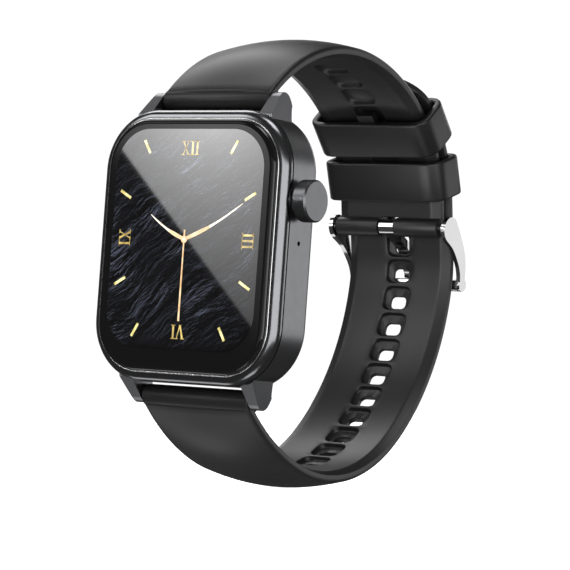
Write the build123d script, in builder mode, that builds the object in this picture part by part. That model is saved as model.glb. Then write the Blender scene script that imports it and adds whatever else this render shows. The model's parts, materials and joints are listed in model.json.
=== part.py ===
from build123d import *
from math import cos, radians, sin
import os

# Smartwatch, closed on its band, in millimetres.
# +X is the crown side, +Z is the 12 o'clock side and +Y leaves the back of the case towards the wrist.
# The origin is the centre of the sensor face on the back, so the display is in front of it, at negative Y.
# "Height" below means the distance in front of that face, which is -Y.

# ---- driving dimensions: case stack, as heights ----
SENSOR_FACE = 0.0
COVER_FACE = 1.0
FRAME_REAR = 1.3
COVER_TOP = 2.2
LEDGE_REAR = 2.4
LEDGE_FRONT = 3.2
CHASSIS_TOP = 4.0
FRAME_FRONT = 8.65
BEZEL_REAR = 8.9
GLASS_SEAT = 9.6
GASKET_THICKNESS = 0.25
BEZEL_FRONT = 10.6
GLASS_FRONT = 11.6

# ---- driving dimensions: case outline ----
CASE_WIDTH = 38.2
CASE_LENGTH = 45.8
CASE_CORNER = 10.2
GLASS_WIDTH = 34.5
GLASS_LENGTH = 42.3
GLASS_CORNER = 8.2
WALL = 2.4
FIT_GAP = 0.1

# ---- driving dimensions: crown ----
CROWN_Z = 8.2
CROWN_HEIGHT = 6.6
CROWN_RADIUS = 3.5
CROWN_INNER = 19.95
CROWN_OUTER = 22.6
STEM_RADIUS = 1.0
STEM_END = 14.4
TUBE_RADIUS = 1.7
TUBE_INNER = 16.4
TUBE_OUTER = 20.2
RUNNING_GAP = 0.05

# ---- driving dimensions: lugs and spring bars ----
BAND_WIDTH = 22.0
LUG_INNER = 11.2
LUG_BASE = 14.2
LUG_TIP = 12.8
PIVOT_Y = -4.0
PIVOT_Z = 25.1
BARREL_RADIUS = 0.9
BARREL_HALF = 10.6
TIP_RADIUS = 0.5
TIP_INNER = 7.4
TIP_OUTER = 12.3
TIP_HOLE_END = 12.5

# ---- driving dimensions: band, with headings in degrees from +Y towards +Z ----
EDGE_THICKNESS = 1.2
BORDER_WIDTH = 1.9
BORDER_DEPTH = 1.9
PANEL_DEPTH = 1.4
SECTION_STEP = 14.0
UPPER_CROWN = [(0.0, 0.25), (12.0, 1.3), (26.0, 1.4), (40.0, 1.1), (54.0, 0.6), (75.8, 0.3)]
LOWER_CROWN = [(0.0, 0.25), (12.0, 1.5), (28.0, 1.6), (46.0, 1.0), (64.0, 0.3), (84.0, 0.06)]
LUG_TUBE_RADIUS = 1.9
ARCH_RADIUS = 35.5
ARCH_START = 46.0
ARCH_END = -38.8
SHOULDER_RADIUS = 25.6
SHOULDER_END = -80.4
BAR_RUN = 4.7
BAR_TUBE_RADIUS = 1.75
LAP = 3.0
CHIN_RADIUS = 41.0
CHIN_START = -45.0
CHIN_END = -18.2
BASE_END = 41.3
BACK_END = 84.0
HEEL_RADIUS = 22.0
BUCKLE_RUN = 10.0
TAIL_TURN = 9.5
TIP_LENGTH = 7.4
TONGUE_HOLE_Z = 6.15
CREASE_RADIUS = 0.3
HOLE_PITCH = 5.25
HOLE_WIDTH = 3.3
HOLE_LENGTH = 2.3
HOLE_CORNER = 0.9
HOLE_OFFSET = 0.7
TONGUE_HOLE_WIDTH = 3.0
TONGUE_HOLE_LENGTH = 3.6
POCKET_WIDTH = 5.6
POCKET_LENGTH = 4.6
POCKET_DEPTH = 0.8

# ---- driving dimensions: keepers and buckle ----
KEEPER_LENGTH = 7.2
KEEPER_WALL = 1.5
KEEPER_SIDE_GAP = 0.25
KEEPER_INNER = 2.95
KEEPER_DEPTH = 6.3
NUB_ANGLE = 16.0
FREE_KEEPER_ANGLE = 41.7
FIXED_KEEPER_ANGLE = 19.5
SLOT_HALF = 1.8
TONGUE_HALF = 1.55
PRONG_HALF = 1.2
PLATE_THICKNESS = 0.85
PLATE_TILT = 4.0
PLATE_X = 11.85
FRAME_SHIFT = 0.25
CROSS_BAR_Y = 6.8
CROSS_BAR_Z = -9.9
BUCKLE_BARREL_RADIUS = 0.78
BUCKLE_TIP_RADIUS = 0.45
PLATE_HOLE_DEPTH = 0.6

os.makedirs("parts", exist_ok=True)


def save(piece, name):
    """Labels a finished piece and writes it to its own STEP file."""
    piece.part.label = name
    export_step(piece.part, f"parts/{name}.step")


def slab(width, length, corner, low, high, mode=Mode.ADD, at=(0, 0)):
    """A rounded rectangle facing the display, from one height to another."""
    with BuildSketch(Plane.XZ.offset(low)) as outline:
        with Locations(at):
            RectangleRounded(width, length, corner)
    return extrude(outline.sketch, amount=high - low, mode=mode)


def block(width, length, low, high, at=(0, 0), mode=Mode.ADD):
    """A plain rectangular block facing the display, from one height to another."""
    with BuildSketch(Plane.XZ.offset(low)) as outline:
        with Locations(at):
            Rectangle(width, length)
    return extrude(outline.sketch, amount=high - low, mode=mode)


def disc(radius, low, high, places=((0, 0),), mode=Mode.ADD):
    """Round discs facing the display, from one height to another."""
    with BuildSketch(Plane.XZ.offset(low)) as outline:
        with Locations(*places):
            Circle(radius)
    return extrude(outline.sketch, amount=high - low, mode=mode)


def rod(radius, start, end, y, z, mode=Mode.ADD):
    """A round rod along X between two X positions."""
    with BuildSketch(Plane.YZ.offset(start)) as outline:
        with Locations((y, z)):
            Circle(radius)
    return extrude(outline.sketch, amount=end - start, mode=mode)


def disc_spring(inner, outer, start, end, folds, y, z):
    """A stack of conical spring discs on an X axis, joined rim to rim."""
    leaf = (end - start) / folds
    half = leaf * 0.2
    waves = [(start + leaf * i, outer if i % 2 else inner) for i in range(folds + 1)]
    thick = 0.12
    lower = [(x, r - thick) for x, r in waves]
    upper = [(x, r + thick) for x, r in reversed(waves)]
    with BuildPart() as spring:
        with BuildSketch(Plane.XY):
            with BuildLine():
                Polyline(*lower, *upper, close=True)
            make_face()
        revolve(axis=Axis.X)
    moved = Location((0, y, z)) * spring.part
    return moved


# ---- case: frame, bezel, covers and seals ----

case_outline = (CASE_WIDTH, CASE_LENGTH, CASE_CORNER)
cavity = (CASE_WIDTH - 2 * WALL, CASE_LENGTH - 2 * WALL, CASE_CORNER - WALL)
cover_outline = (34.6, 42.2, 8.5)
ledge_opening = (31.0, 38.6, 8.0)
SCREWS = [(x, z) for x in (-14.05, 14.05) for z in (-17.85, 17.85)]
CROWN_Y = -CROWN_HEIGHT
MIC_Z = 1.25
MIC_HEIGHT = 5.85

with BuildPart() as lug:
    with BuildSketch(Plane.YZ.offset(LUG_INNER)):
        with BuildLine():
            slope = Polyline((-2.9, 18.0), (-8.6, 18.0), (-8.6, 22.3), (-5.7, 25.6))
            head = Spline(
                slope @ 1,
                (-4.2, 26.45),
                (-2.9, 25.9),
                (-2.3, 24.3),
                (-2.9, 21.9),
                tangents=(Vector(1, 1.1), Vector(-0.15, -1)),
            )
            Line(head @ 1, slope @ 0)
        make_face()
    extrude(amount=LUG_BASE - LUG_INNER)
    with BuildSketch(Plane.XZ.offset(-2)):
        with BuildLine():
            Polyline(
                (LUG_INNER, 17.0),
                (LUG_INNER, 27.5),
                (LUG_TIP, 27.5),
                (LUG_BASE, 20.5),
                (LUG_BASE, 17.0),
                close=True,
            )
        make_face()
    extrude(amount=14, mode=Mode.INTERSECT)

with BuildPart() as mid_frame:
    slab(*case_outline, FRAME_REAR, FRAME_FRONT)
    rear_rim = mid_frame.faces().sort_by(Axis.Y)[-1].edges()
    fillet(rear_rim, 1.4)
    add(lug.part)
    add(mirror(lug.part, about=Plane.YZ, mode=Mode.PRIVATE))
    add(mirror(lug.part, about=Plane.XY, mode=Mode.PRIVATE))
    add(Rotation(0, 180, 0) * lug.part)
    slab(*cavity, LEDGE_FRONT, FRAME_FRONT, Mode.SUBTRACT)
    slab(*ledge_opening, FRAME_REAR, LEDGE_FRONT, Mode.SUBTRACT)
    slab(34.8, 42.4, 8.6, FRAME_REAR, LEDGE_REAR, Mode.SUBTRACT)
    disc(0.45, LEDGE_REAR, LEDGE_FRONT, SCREWS, Mode.SUBTRACT)
    rod(TUBE_RADIUS, TUBE_INNER, CASE_WIDTH / 2 + 1, CROWN_Y, CROWN_Z, Mode.SUBTRACT)
    rod(0.4, TUBE_INNER, CASE_WIDTH / 2 + 1, -MIC_HEIGHT, MIC_Z, Mode.SUBTRACT)
    for side in (-1, 1):
        for end in (-1, 1):
            start = side * LUG_INNER if side > 0 else -TIP_HOLE_END
            stop = TIP_HOLE_END if side > 0 else -LUG_INNER
            rod(TIP_RADIUS + RUNNING_GAP, start, stop, PIVOT_Y, end * PIVOT_Z, Mode.SUBTRACT)
    with BuildSketch(Plane.YZ.offset(-CASE_WIDTH / 2 - 1)) as grille:
        with Locations((-5.85, 3.2), (-5.85, -3.2)):
            SlotOverall(5.2, 0.8, rotation=90)
    extrude(grille.sketch, amount=WALL + 2, mode=Mode.SUBTRACT)
save(mid_frame, "mid_frame")

with BuildPart() as front_bezel:
    slab(CASE_WIDTH - 0.1, CASE_LENGTH - 0.1, CASE_CORNER - 0.05, BEZEL_REAR, BEZEL_FRONT)
    fillet(front_bezel.faces().sort_by(Axis.Y)[0].edges(), 1.62)
    inner = (cavity[0] - 2 * FIT_GAP, cavity[1] - 2 * FIT_GAP, cavity[2] - FIT_GAP)
    slab(*inner, 8.4, BEZEL_REAR)
    slab(31.6, 39.2, 6.9, 8.3, GLASS_SEAT, Mode.SUBTRACT)
    seat = (GLASS_WIDTH + FIT_GAP, GLASS_LENGTH + FIT_GAP, GLASS_CORNER + FIT_GAP / 2)
    slab(*seat, GLASS_SEAT, BEZEL_FRONT, Mode.SUBTRACT)
save(front_bezel, "front_bezel")

with BuildPart() as glass_gasket:
    slab(34.2, 42.0, 8.05, GLASS_SEAT, GLASS_SEAT + GASKET_THICKNESS)
    slab(31.8, 39.4, 7.0, GLASS_SEAT, GLASS_SEAT + GASKET_THICKNESS, Mode.SUBTRACT)
save(glass_gasket, "glass_gasket")

with BuildPart() as cover_glass:
    slab(GLASS_WIDTH, GLASS_LENGTH, GLASS_CORNER, GLASS_SEAT + GASKET_THICKNESS, GLASS_FRONT)
    fillet(cover_glass.faces().sort_by(Axis.Y)[0].edges(), 0.95)
save(cover_glass, "cover_glass")

with BuildPart() as display_panel:
    slab(31.4, 39.0, 6.8, 8.6, GLASS_SEAT + GASKET_THICKNESS)
save(display_panel, "display_panel")

with BuildPart() as display_flex:
    block(12.0, 9.0, 8.4, 8.6, at=(-4.0, -14.0))
    block(9.0, 2.0, 8.2, 8.4, at=(-4.0, -11.0))
save(display_flex, "display_flex")

with BuildPart() as inner_chassis:
    slab(33.0, 40.6, 7.4, LEDGE_FRONT, CHASSIS_TOP)
    slab(18.0, 22.0, 2.0, LEDGE_FRONT, CHASSIS_TOP, Mode.SUBTRACT)
save(inner_chassis, "inner_chassis")

with BuildPart() as battery:
    slab(22.0, 26.0, 1.2, CHASSIS_TOP, 6.6, at=(-0.5, 0))
    fillet(battery.edges().filter_by(Axis.Y, reverse=True), 0.4)
save(battery, "battery")

with BuildPart() as main_board:
    slab(27.5, 31.0, 3.0, 7.8, 8.2, at=(-0.5, 2.5))
save(main_board, "main_board")

with BuildPart() as board_chips:
    block(4.5, 4.5, 7.0, 7.8, at=(-9.0, 14.5))
    block(3.2, 2.6, 7.1, 7.8, at=(-9.5, 8.5))
    block(2.4, 2.4, 7.2, 7.8, at=(8.5, 15.0))
    block(5.0, 2.2, 7.2, 7.8, at=(-6.0, -10.5))
save(board_chips, "board_chips")

with BuildPart() as shield_can:
    slab(11.0, 12.0, 0.8, 6.8, 7.8, at=(0.0, 8.0))
    slab(10.4, 11.4, 0.6, 7.05, 7.8, Mode.SUBTRACT, at=(0.0, 8.0))
save(shield_can, "shield_can")

with BuildPart() as speaker:
    slab(3.9, 9.5, 0.8, CHASSIS_TOP, 6.8, at=(-14.2, 0.0))
save(speaker, "speaker")

with BuildPart() as speaker_mesh:
    with BuildSketch(Plane.YZ.offset(-cavity[0] / 2)):
        with Locations((-5.5, 0)):
            Rectangle(2.2, 11.8)
    extrude(amount=0.2)
save(speaker_mesh, "speaker_mesh")

with BuildPart() as microphone:
    with BuildSketch(Plane.YZ.offset(14.9)):
        with Locations((-MIC_HEIGHT, MIC_Z)):
            Rectangle(1.6, 2.2)
    extrude(amount=1.5)
save(microphone, "microphone")

with BuildPart() as mic_mesh:
    rod(0.7, 16.45, cavity[0] / 2, -MIC_HEIGHT, MIC_Z)
save(mic_mesh, "mic_mesh")

CONTACTS = [(-2.6, -10.9), (2.6, -10.9)]
MAGNETS = [(-7.2, -9.4), (7.2, -9.4)]
LEDS = [(0.0, 2.4), (-2.1, -1.2), (2.1, -1.2)]

with BuildPart() as rear_cover:
    slab(*cover_outline, COVER_FACE, COVER_TOP)
    disc(13.4, SENSOR_FACE, COVER_FACE)
    fillet(rear_cover.edges().filter_by(GeomType.CIRCLE).sort_by(Axis.Y)[-1], 0.6)
    disc(9.5, 1.2, COVER_TOP, mode=Mode.SUBTRACT)
    disc(6.55, SENSOR_FACE, 0.8, mode=Mode.SUBTRACT)
    disc(5.6, SENSOR_FACE, 1.2, mode=Mode.SUBTRACT)
    disc(0.7, SENSOR_FACE, COVER_TOP, CONTACTS, Mode.SUBTRACT)
    disc(1.25, 0.8, COVER_TOP, MAGNETS, Mode.SUBTRACT)
    disc(0.55, COVER_FACE, COVER_TOP, SCREWS, Mode.SUBTRACT)
    disc(0.95, COVER_FACE, 1.55, SCREWS, Mode.SUBTRACT)
save(rear_cover, "rear_cover")

with BuildPart() as rear_gasket:
    slab(34.2, 41.8, 8.3, COVER_TOP, LEDGE_REAR)
    slab(*ledge_opening, COVER_TOP, LEDGE_REAR, Mode.SUBTRACT)
    disc(0.6, COVER_TOP, LEDGE_REAR, SCREWS, Mode.SUBTRACT)
save(rear_gasket, "rear_gasket")

with BuildPart() as rear_screws:
    disc(0.9, 1.05, 1.55, SCREWS)
    disc(0.45, 1.55, LEDGE_FRONT, SCREWS)
    with BuildSketch(Plane.XZ.offset(1.05)) as sockets:
        with Locations(*SCREWS):
            Rectangle(1.0, 0.25)
            Rectangle(0.25, 1.0)
    extrude(sockets.sketch, amount=0.25, mode=Mode.SUBTRACT)
save(rear_screws, "rear_screws")

with BuildPart() as sensor_window:
    disc(6.5, SENSOR_FACE, 0.8)
save(sensor_window, "sensor_window")

with BuildPart() as sensor_board:
    disc(10.0, COVER_TOP, 2.7)
save(sensor_board, "sensor_board")

with BuildPart() as sensor_leds:
    with BuildSketch(Plane.XZ.offset(1.3)) as emitters:
        with Locations(*LEDS):
            Rectangle(1.6, 1.2)
    extrude(emitters.sketch, amount=COVER_TOP - 1.3)
save(sensor_leds, "sensor_leds")

with BuildPart() as charging_contacts:
    disc(0.7, SENSOR_FACE, COVER_TOP, CONTACTS)
save(charging_contacts, "charging_contacts")

with BuildPart() as charging_magnets:
    disc(1.2, 0.8, COVER_TOP, MAGNETS)
save(charging_magnets, "charging_magnets")

# ---- vibration motor ----

MOTOR_Y = -5.4
MOTOR_Z = -16.6
with BuildPart() as motor_case:
    rod(1.35, -10.0, -4.5, MOTOR_Y, MOTOR_Z)
    rod(0.35, -6.5, -4.5, MOTOR_Y, MOTOR_Z, Mode.SUBTRACT)
save(motor_case, "motor_case")

with BuildPart() as motor_shaft:
    rod(0.3, -6.4, -1.6, MOTOR_Y, MOTOR_Z)
save(motor_shaft, "motor_shaft")

with BuildPart() as motor_weight:
    rod(1.3, -4.2, -1.8, MOTOR_Y, MOTOR_Z)
    with BuildSketch(Plane.YZ.offset(-4.3)) as missing_half:
        with Locations((MOTOR_Y, MOTOR_Z + 1.15)):
            Rectangle(3.0, 1.5)
    extrude(missing_half.sketch, amount=3, mode=Mode.SUBTRACT)
    rod(0.3, -4.3, -1.7, MOTOR_Y, MOTOR_Z, Mode.SUBTRACT)
save(motor_weight, "motor_weight")

# ---- crown, which turns and presses a switch ----

with BuildPart() as crown_tube:
    rod(TUBE_RADIUS, TUBE_INNER, TUBE_OUTER, CROWN_Y, CROWN_Z)
    rod(STEM_RADIUS + RUNNING_GAP, TUBE_INNER, TUBE_OUTER, CROWN_Y, CROWN_Z, Mode.SUBTRACT)
    rod(1.35, 16.8, 18.0, CROWN_Y, CROWN_Z, Mode.SUBTRACT)
save(crown_tube, "crown_tube")

with BuildPart() as crown:
    rod(CROWN_RADIUS, CROWN_INNER, CROWN_OUTER, CROWN_Y, CROWN_Z)
    rims = crown.edges().filter_by(GeomType.CIRCLE).sort_by(Axis.X)
    chamfer(rims[-1], 0.28)
    fillet(rims[0], 0.35)
    rod(2.65, CROWN_INNER - 0.1, 21.85, CROWN_Y, CROWN_Z, Mode.SUBTRACT)
    rod(STEM_RADIUS, STEM_END, 21.9, CROWN_Y, CROWN_Z)
    with BuildSketch(Plane.YZ.offset(15.8)) as clip_groove:
        with Locations((CROWN_Y, CROWN_Z)):
            Circle(1.5)
            Circle(0.75, mode=Mode.SUBTRACT)
    extrude(clip_groove.sketch, amount=0.5, mode=Mode.SUBTRACT)
    with BuildSketch(Plane.YZ.offset(17.3)) as seal_groove:
        with Locations((CROWN_Y, CROWN_Z)):
            Circle(1.5)
            Circle(0.8, mode=Mode.SUBTRACT)
    extrude(seal_groove.sketch, amount=0.6, mode=Mode.SUBTRACT)
save(crown, "crown")

with BuildPart() as crown_seal:
    with BuildSketch(Plane.XY):
        with Locations((17.6, 1.05)):
            Circle(0.22)
    revolve(axis=Axis.X)
with BuildPart() as crown_seal_placed:
    add(Location((0, CROWN_Y, CROWN_Z)) * crown_seal.part)
save(crown_seal_placed, "crown_seal")

with BuildPart() as crown_clip:
    rod(1.6, 15.86, 16.24, CROWN_Y, CROWN_Z)
    rod(0.8, 15.8, 16.3, CROWN_Y, CROWN_Z, Mode.SUBTRACT)
save(crown_clip, "crown_clip")

with BuildPart() as crown_spring:
    add(disc_spring(1.95, 2.4, CASE_WIDTH / 2 + 0.02, 21.83, 6, CROWN_Y, CROWN_Z))
save(crown_spring, "crown_spring")

with BuildPart() as crown_switch:
    with BuildSketch(Plane.YZ.offset(10.7)):
        with Locations((CROWN_Y, CROWN_Z)):
            Rectangle(2.4, 3.0)
    extrude(amount=2.5)
    rod(0.65, 11.9, 13.2, CROWN_Y, CROWN_Z, Mode.SUBTRACT)
save(crown_switch, "crown_switch")

with BuildPart() as switch_plunger:
    rod(0.6, 12.5, STEM_END - 0.02, CROWN_Y, CROWN_Z)
save(switch_plunger, "switch_plunger")

# ---- band route: tangent arcs in the YZ plane ----


def along(heading):
    """The unit step in the YZ plane for a heading in degrees."""
    return Vector(0, cos(radians(heading)), sin(radians(heading)))


def arc_step(radius, start, end):
    """Where an anticlockwise arc ends, seen from where it starts."""
    return (along(end - 90) - along(start - 90)) * radius


upper_start = Vector(0, PIVOT_Y, PIVOT_Z) + along(ARCH_START + 90) * LUG_TUBE_RADIUS
arch_centre = upper_start + along(ARCH_START - 90) * ARCH_RADIUS
shoulder_centre = arch_centre + along(ARCH_END + 90) * (ARCH_RADIUS - SHOULDER_RADIUS)
shoulder_end = shoulder_centre + along(SHOULDER_END + 90) * SHOULDER_RADIUS
bar_centre = shoulder_end + along(SHOULDER_END) * BAR_RUN
bar_centre = bar_centre + along(SHOULDER_END - 90) * BAR_TUBE_RADIUS
BAR_Y, BAR_Z = bar_centre.Y, bar_centre.Z

lower_start = Vector(0, PIVOT_Y, -PIVOT_Z) + along(CHIN_START - 90) * LUG_TUBE_RADIUS
tail_shoulder = shoulder_centre + along(SHOULDER_END + 90) * (SHOULDER_RADIUS + LAP)
heel_end = tail_shoulder + along(SHOULDER_END) * BUCKLE_RUN
TAIL_HEADING = SHOULDER_END + 180
base_start = lower_start + arc_step(CHIN_RADIUS, CHIN_START, CHIN_END)
back_end = heel_end - arc_step(HEEL_RADIUS, BACK_END, TAIL_HEADING)

# The radii of the band's base and back follow from closing the loop between those two points.
gap = back_end - base_start
base_unit = arc_step(1, CHIN_END, BASE_END)
back_unit = arc_step(1, BASE_END, BACK_END)
closing = base_unit.cross(back_unit).X
BASE_RADIUS = gap.cross(back_unit).X / closing
BACK_RADIUS = base_unit.cross(gap).X / closing


def route(start, heading, steps):
    """A line of tangent arcs and straight runs. A step is (radius, turn), or (None, length) for a run."""
    with BuildLine() as line:
        point = start
        for radius, amount in steps:
            if radius is None:
                end = point + along(heading) * amount
                Line(point, end)
            else:
                side = 90 if amount > 0 else -90
                centre = point + along(heading + side) * radius
                middle = centre - along(heading + amount / 2 + side) * radius
                heading += amount
                end = centre - along(heading + side) * radius
                ThreePointArc(point, middle, end)
            point = end
    return line.wires()[0]


upper_route = route(
    upper_start,
    ARCH_START,
    [
        (ARCH_RADIUS, ARCH_END - ARCH_START),
        (SHOULDER_RADIUS, SHOULDER_END - ARCH_END),
        (None, BAR_RUN),
    ],
)
lower_route = route(
    lower_start,
    CHIN_START,
    [
        (CHIN_RADIUS, CHIN_END - CHIN_START),
        (BASE_RADIUS, BASE_END - CHIN_END),
        (BACK_RADIUS, BACK_END - BASE_END),
        (HEEL_RADIUS, TAIL_HEADING - BACK_END),
        (None, BUCKLE_RUN),
        (SHOULDER_RADIUS + LAP, ARCH_END - SHOULDER_END),
        (ARCH_RADIUS + LAP, TAIL_TURN),
    ],
)


def strip(line, inward, crowns):
    """The band's arched section carried along a route through its outer edges. inward is 1 or -1.

    crowns gives how far the middle of the outer face stands out, at distances along the route.
    """
    half = BAND_WIDTH / 2
    last_distance, last_crown = crowns[-1]
    spans = int((line.length - last_distance) / SECTION_STEP) + 1
    step = (line.length - last_distance) / spans
    level = [(last_distance + step * n, last_crown) for n in range(1, spans + 1)]
    sections = []
    for distance, crown in [*crowns, *level]:
        point = line.position_at(distance, position_mode=PositionMode.LENGTH)
        heading = line.tangent_at(distance, position_mode=PositionMode.LENGTH)
        with BuildSketch(Plane(origin=point, x_dir=(1, 0, 0), z_dir=heading)) as section:
            with BuildLine():
                ThreePointArc((-half, 0), (0, -inward * crown), (half, 0))
                Line((half, 0), (half, inward * EDGE_THICKNESS))
                Line((half, inward * EDGE_THICKNESS), (half - BORDER_WIDTH, inward * BORDER_DEPTH))
                ThreePointArc(
                    (half - BORDER_WIDTH, inward * BORDER_DEPTH),
                    (0, inward * PANEL_DEPTH),
                    (BORDER_WIDTH - half, inward * BORDER_DEPTH),
                )
                Line((BORDER_WIDTH - half, inward * BORDER_DEPTH), (-half, inward * EDGE_THICKNESS))
                Line((-half, inward * EDGE_THICKNESS), (-half, 0))
            make_face()
        sections.append(section.sketch)
    sweep(sections, path=line, multisection=True)


def face_plane(line, distance, inward):
    """A plane on the band's inner face that looks outward, with x across the band."""
    point = line.position_at(distance, position_mode=PositionMode.LENGTH)
    step = line.tangent_at(distance, position_mode=PositionMode.LENGTH)
    out = step.cross(Vector(1, 0, 0)) * -inward
    return Plane(origin=point - out * PANEL_DEPTH, x_dir=(1, 0, 0), z_dir=out)


def pocket(plane):
    """A rounded pocket in the inner face that narrows outward."""
    with BuildSketch(plane.offset(-0.4)) as mouth:
        RectangleRounded(POCKET_WIDTH, POCKET_LENGTH, 1.4)
    extrude(mouth.sketch, amount=POCKET_DEPTH + 0.4, taper=14, mode=Mode.SUBTRACT)


def pocket_hole(plane, width, length, offset):
    """A rounded hole from a pocket's floor to the outer face, set towards the lugs by an offset."""
    with BuildSketch(plane) as hole:
        with Locations((0, offset)):
            RectangleRounded(width, length, HOLE_CORNER)
    extrude(hole.sketch, amount=PANEL_DEPTH + 2, mode=Mode.SUBTRACT)


def length_to(line, z, low, high):
    """The distance along a rising route at which it reaches a height z, by halving."""
    for _ in range(40):
        middle = (low + high) / 2
        if line.position_at(middle, position_mode=PositionMode.LENGTH).Z < z:
            low = middle
        else:
            high = middle
    return low


TAIL_HOLES_BELOW = 10
TAIL_HOLES_ABOVE = 5
UPPER_POCKETS = 7
shoulder_passing = ARCH_RADIUS * radians(ARCH_START - ARCH_END)
nub_distance = shoulder_passing + SHOULDER_RADIUS * radians(ARCH_END + 90 - NUB_ANGLE)
tongue_hole = length_to(lower_route, TONGUE_HOLE_Z, 60, 110)

with BuildPart() as upper_strap:
    strip(upper_route, 1, UPPER_CROWN)
    rod(LUG_TUBE_RADIUS, -BAND_WIDTH / 2, BAND_WIDTH / 2, PIVOT_Y, PIVOT_Z)
    rod(BAR_TUBE_RADIUS, -BAND_WIDTH / 2, BAND_WIDTH / 2, BAR_Y, BAR_Z)
    rod(BARREL_RADIUS + RUNNING_GAP, -12, 12, PIVOT_Y, PIVOT_Z, Mode.SUBTRACT)
    rod(BUCKLE_BARREL_RADIUS + 0.02, -12, 12, BAR_Y, BAR_Z, Mode.SUBTRACT)
    for i in range(UPPER_POCKETS):
        pocket(face_plane(upper_route, nub_distance - HOLE_PITCH * i, 1))
    with BuildSketch(Plane.YZ.offset(-SLOT_HALF)) as slot:
        with Locations((BAR_Y, BAR_Z)):
            RectangleRounded(6.4, 3.9, 0.6)
    extrude(slot.sketch, amount=2 * SLOT_HALF, mode=Mode.SUBTRACT)
    rod(CREASE_RADIUS, -12, 12, PIVOT_Y - 1.62, PIVOT_Z + 1.32, Mode.SUBTRACT)
save(upper_strap, "upper_strap")

with BuildPart() as lower_strap:
    strip(lower_route, -1, LOWER_CROWN)
    rod(LUG_TUBE_RADIUS, -BAND_WIDTH / 2, BAND_WIDTH / 2, PIVOT_Y, -PIVOT_Z)
    rod(BARREL_RADIUS + RUNNING_GAP, -12, 12, PIVOT_Y, -PIVOT_Z, Mode.SUBTRACT)
    for i in range(-TAIL_HOLES_BELOW, TAIL_HOLES_ABOVE + 1):
        hole_plane = face_plane(lower_route, tongue_hole + HOLE_PITCH * i, -1)
        pocket(hole_plane)
        if i == 0:
            pocket_hole(hole_plane, TONGUE_HOLE_WIDTH, TONGUE_HOLE_LENGTH, 0.0)
        else:
            pocket_hole(hole_plane, HOLE_WIDTH, HOLE_LENGTH, HOLE_OFFSET)
    tip_plane = face_plane(lower_route, lower_route.length - TIP_LENGTH, -1)
    with BuildSketch(tip_plane.offset(-2)) as tip_round:
        with Locations((0, -TIP_LENGTH)):
            Rectangle(BAND_WIDTH + 4, 2 * TIP_LENGTH)
        RectangleRounded(BAND_WIDTH, 2 * TIP_LENGTH + 0.2, TIP_LENGTH - 0.1, mode=Mode.SUBTRACT)
    extrude(tip_round.sketch, amount=7, mode=Mode.SUBTRACT)
    rod(CREASE_RADIUS, -12, 12, PIVOT_Y - 1.55, -PIVOT_Z - 1.38, Mode.SUBTRACT)
save(lower_strap, "lower_strap")

# ---- keepers ----

KEEPER_WIDTH = BAND_WIDTH + 2 * KEEPER_SIDE_GAP


def keeper_loop(angle):
    """A rounded loop round both straps, square to the shoulder at an angle above the Y axis."""
    step = along(angle - 90)
    middle = shoulder_centre + along(angle) * (SHOULDER_RADIUS + KEEPER_DEPTH / 2 - KEEPER_INNER)
    with BuildSketch(Plane(origin=middle - step * KEEPER_LENGTH / 2, x_dir=(1, 0, 0), z_dir=step)) as loop:
        RectangleRounded(KEEPER_WIDTH + 2 * KEEPER_WALL, KEEPER_DEPTH + 2 * KEEPER_WALL, 3.0)
        RectangleRounded(KEEPER_WIDTH, KEEPER_DEPTH, 0.8, mode=Mode.SUBTRACT)
    extrude(loop.sketch, amount=KEEPER_LENGTH)


with BuildPart() as free_keeper:
    keeper_loop(FREE_KEEPER_ANGLE)
save(free_keeper, "free_keeper")

with BuildPart() as fixed_keeper:
    keeper_loop(FIXED_KEEPER_ANGLE)
    nub_plane = face_plane(upper_route, nub_distance, 1)
    with BuildSketch(nub_plane.offset(PANEL_DEPTH - KEEPER_INNER - 0.4)) as nub:
        RectangleRounded(3.0, 2.4, 0.5)
    extrude(nub.sketch, amount=2.35)
save(fixed_keeper, "fixed_keeper")

# ---- buckle ----

with BuildPart() as buckle_half:
    tilt = radians(PLATE_TILT)
    plate_plane = Plane(origin=(PLATE_X, BAR_Y, BAR_Z), x_dir=(0, 1, 0), z_dir=(cos(tilt), 0, -sin(tilt)))
    with BuildSketch(plate_plane) as plate:
        with BuildLine():
            head = CenterArc((0.65, -0.1), 2.28, 40, 165)
            front = Spline(
                head @ 0,
                (4.6, -1.3),
                (6.4, -3.9),
                (7.6, -8.8),
                tangents=(Vector(1, -1.1), Vector(0.1, -1)),
            )
            inside = Spline(
                head @ 1,
                (1.45, -3.1),
                (4.3, -5.7),
                (6.0, -9.4),
                tangents=(head % 1, Vector(0.1, -1)),
            )
            ThreePointArc(front @ 1, (6.85, -11.0), inside @ 1)
        make_face()
    extrude(plate.sketch, amount=PLATE_THICKNESS)
    with BuildSketch(Plane.YZ) as cross_section:
        with Locations((BAR_Y + CROSS_BAR_Y, BAR_Z + CROSS_BAR_Z)):
            RectangleRounded(1.7, 2.2, 0.6)
    extrude(cross_section.sketch, amount=PLATE_X - 0.4)
    rod(
        BUCKLE_TIP_RADIUS + RUNNING_GAP,
        PLATE_X - 0.3,
        PLATE_X + PLATE_HOLE_DEPTH + RUNNING_GAP,
        BAR_Y,
        BAR_Z,
        Mode.SUBTRACT,
    )
    mirror(about=Plane.YZ)

with BuildPart() as buckle_frame:
    add(Location((FRAME_SHIFT, 0, 0)) * buckle_half.part)
save(buckle_frame, "buckle_frame")

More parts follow.
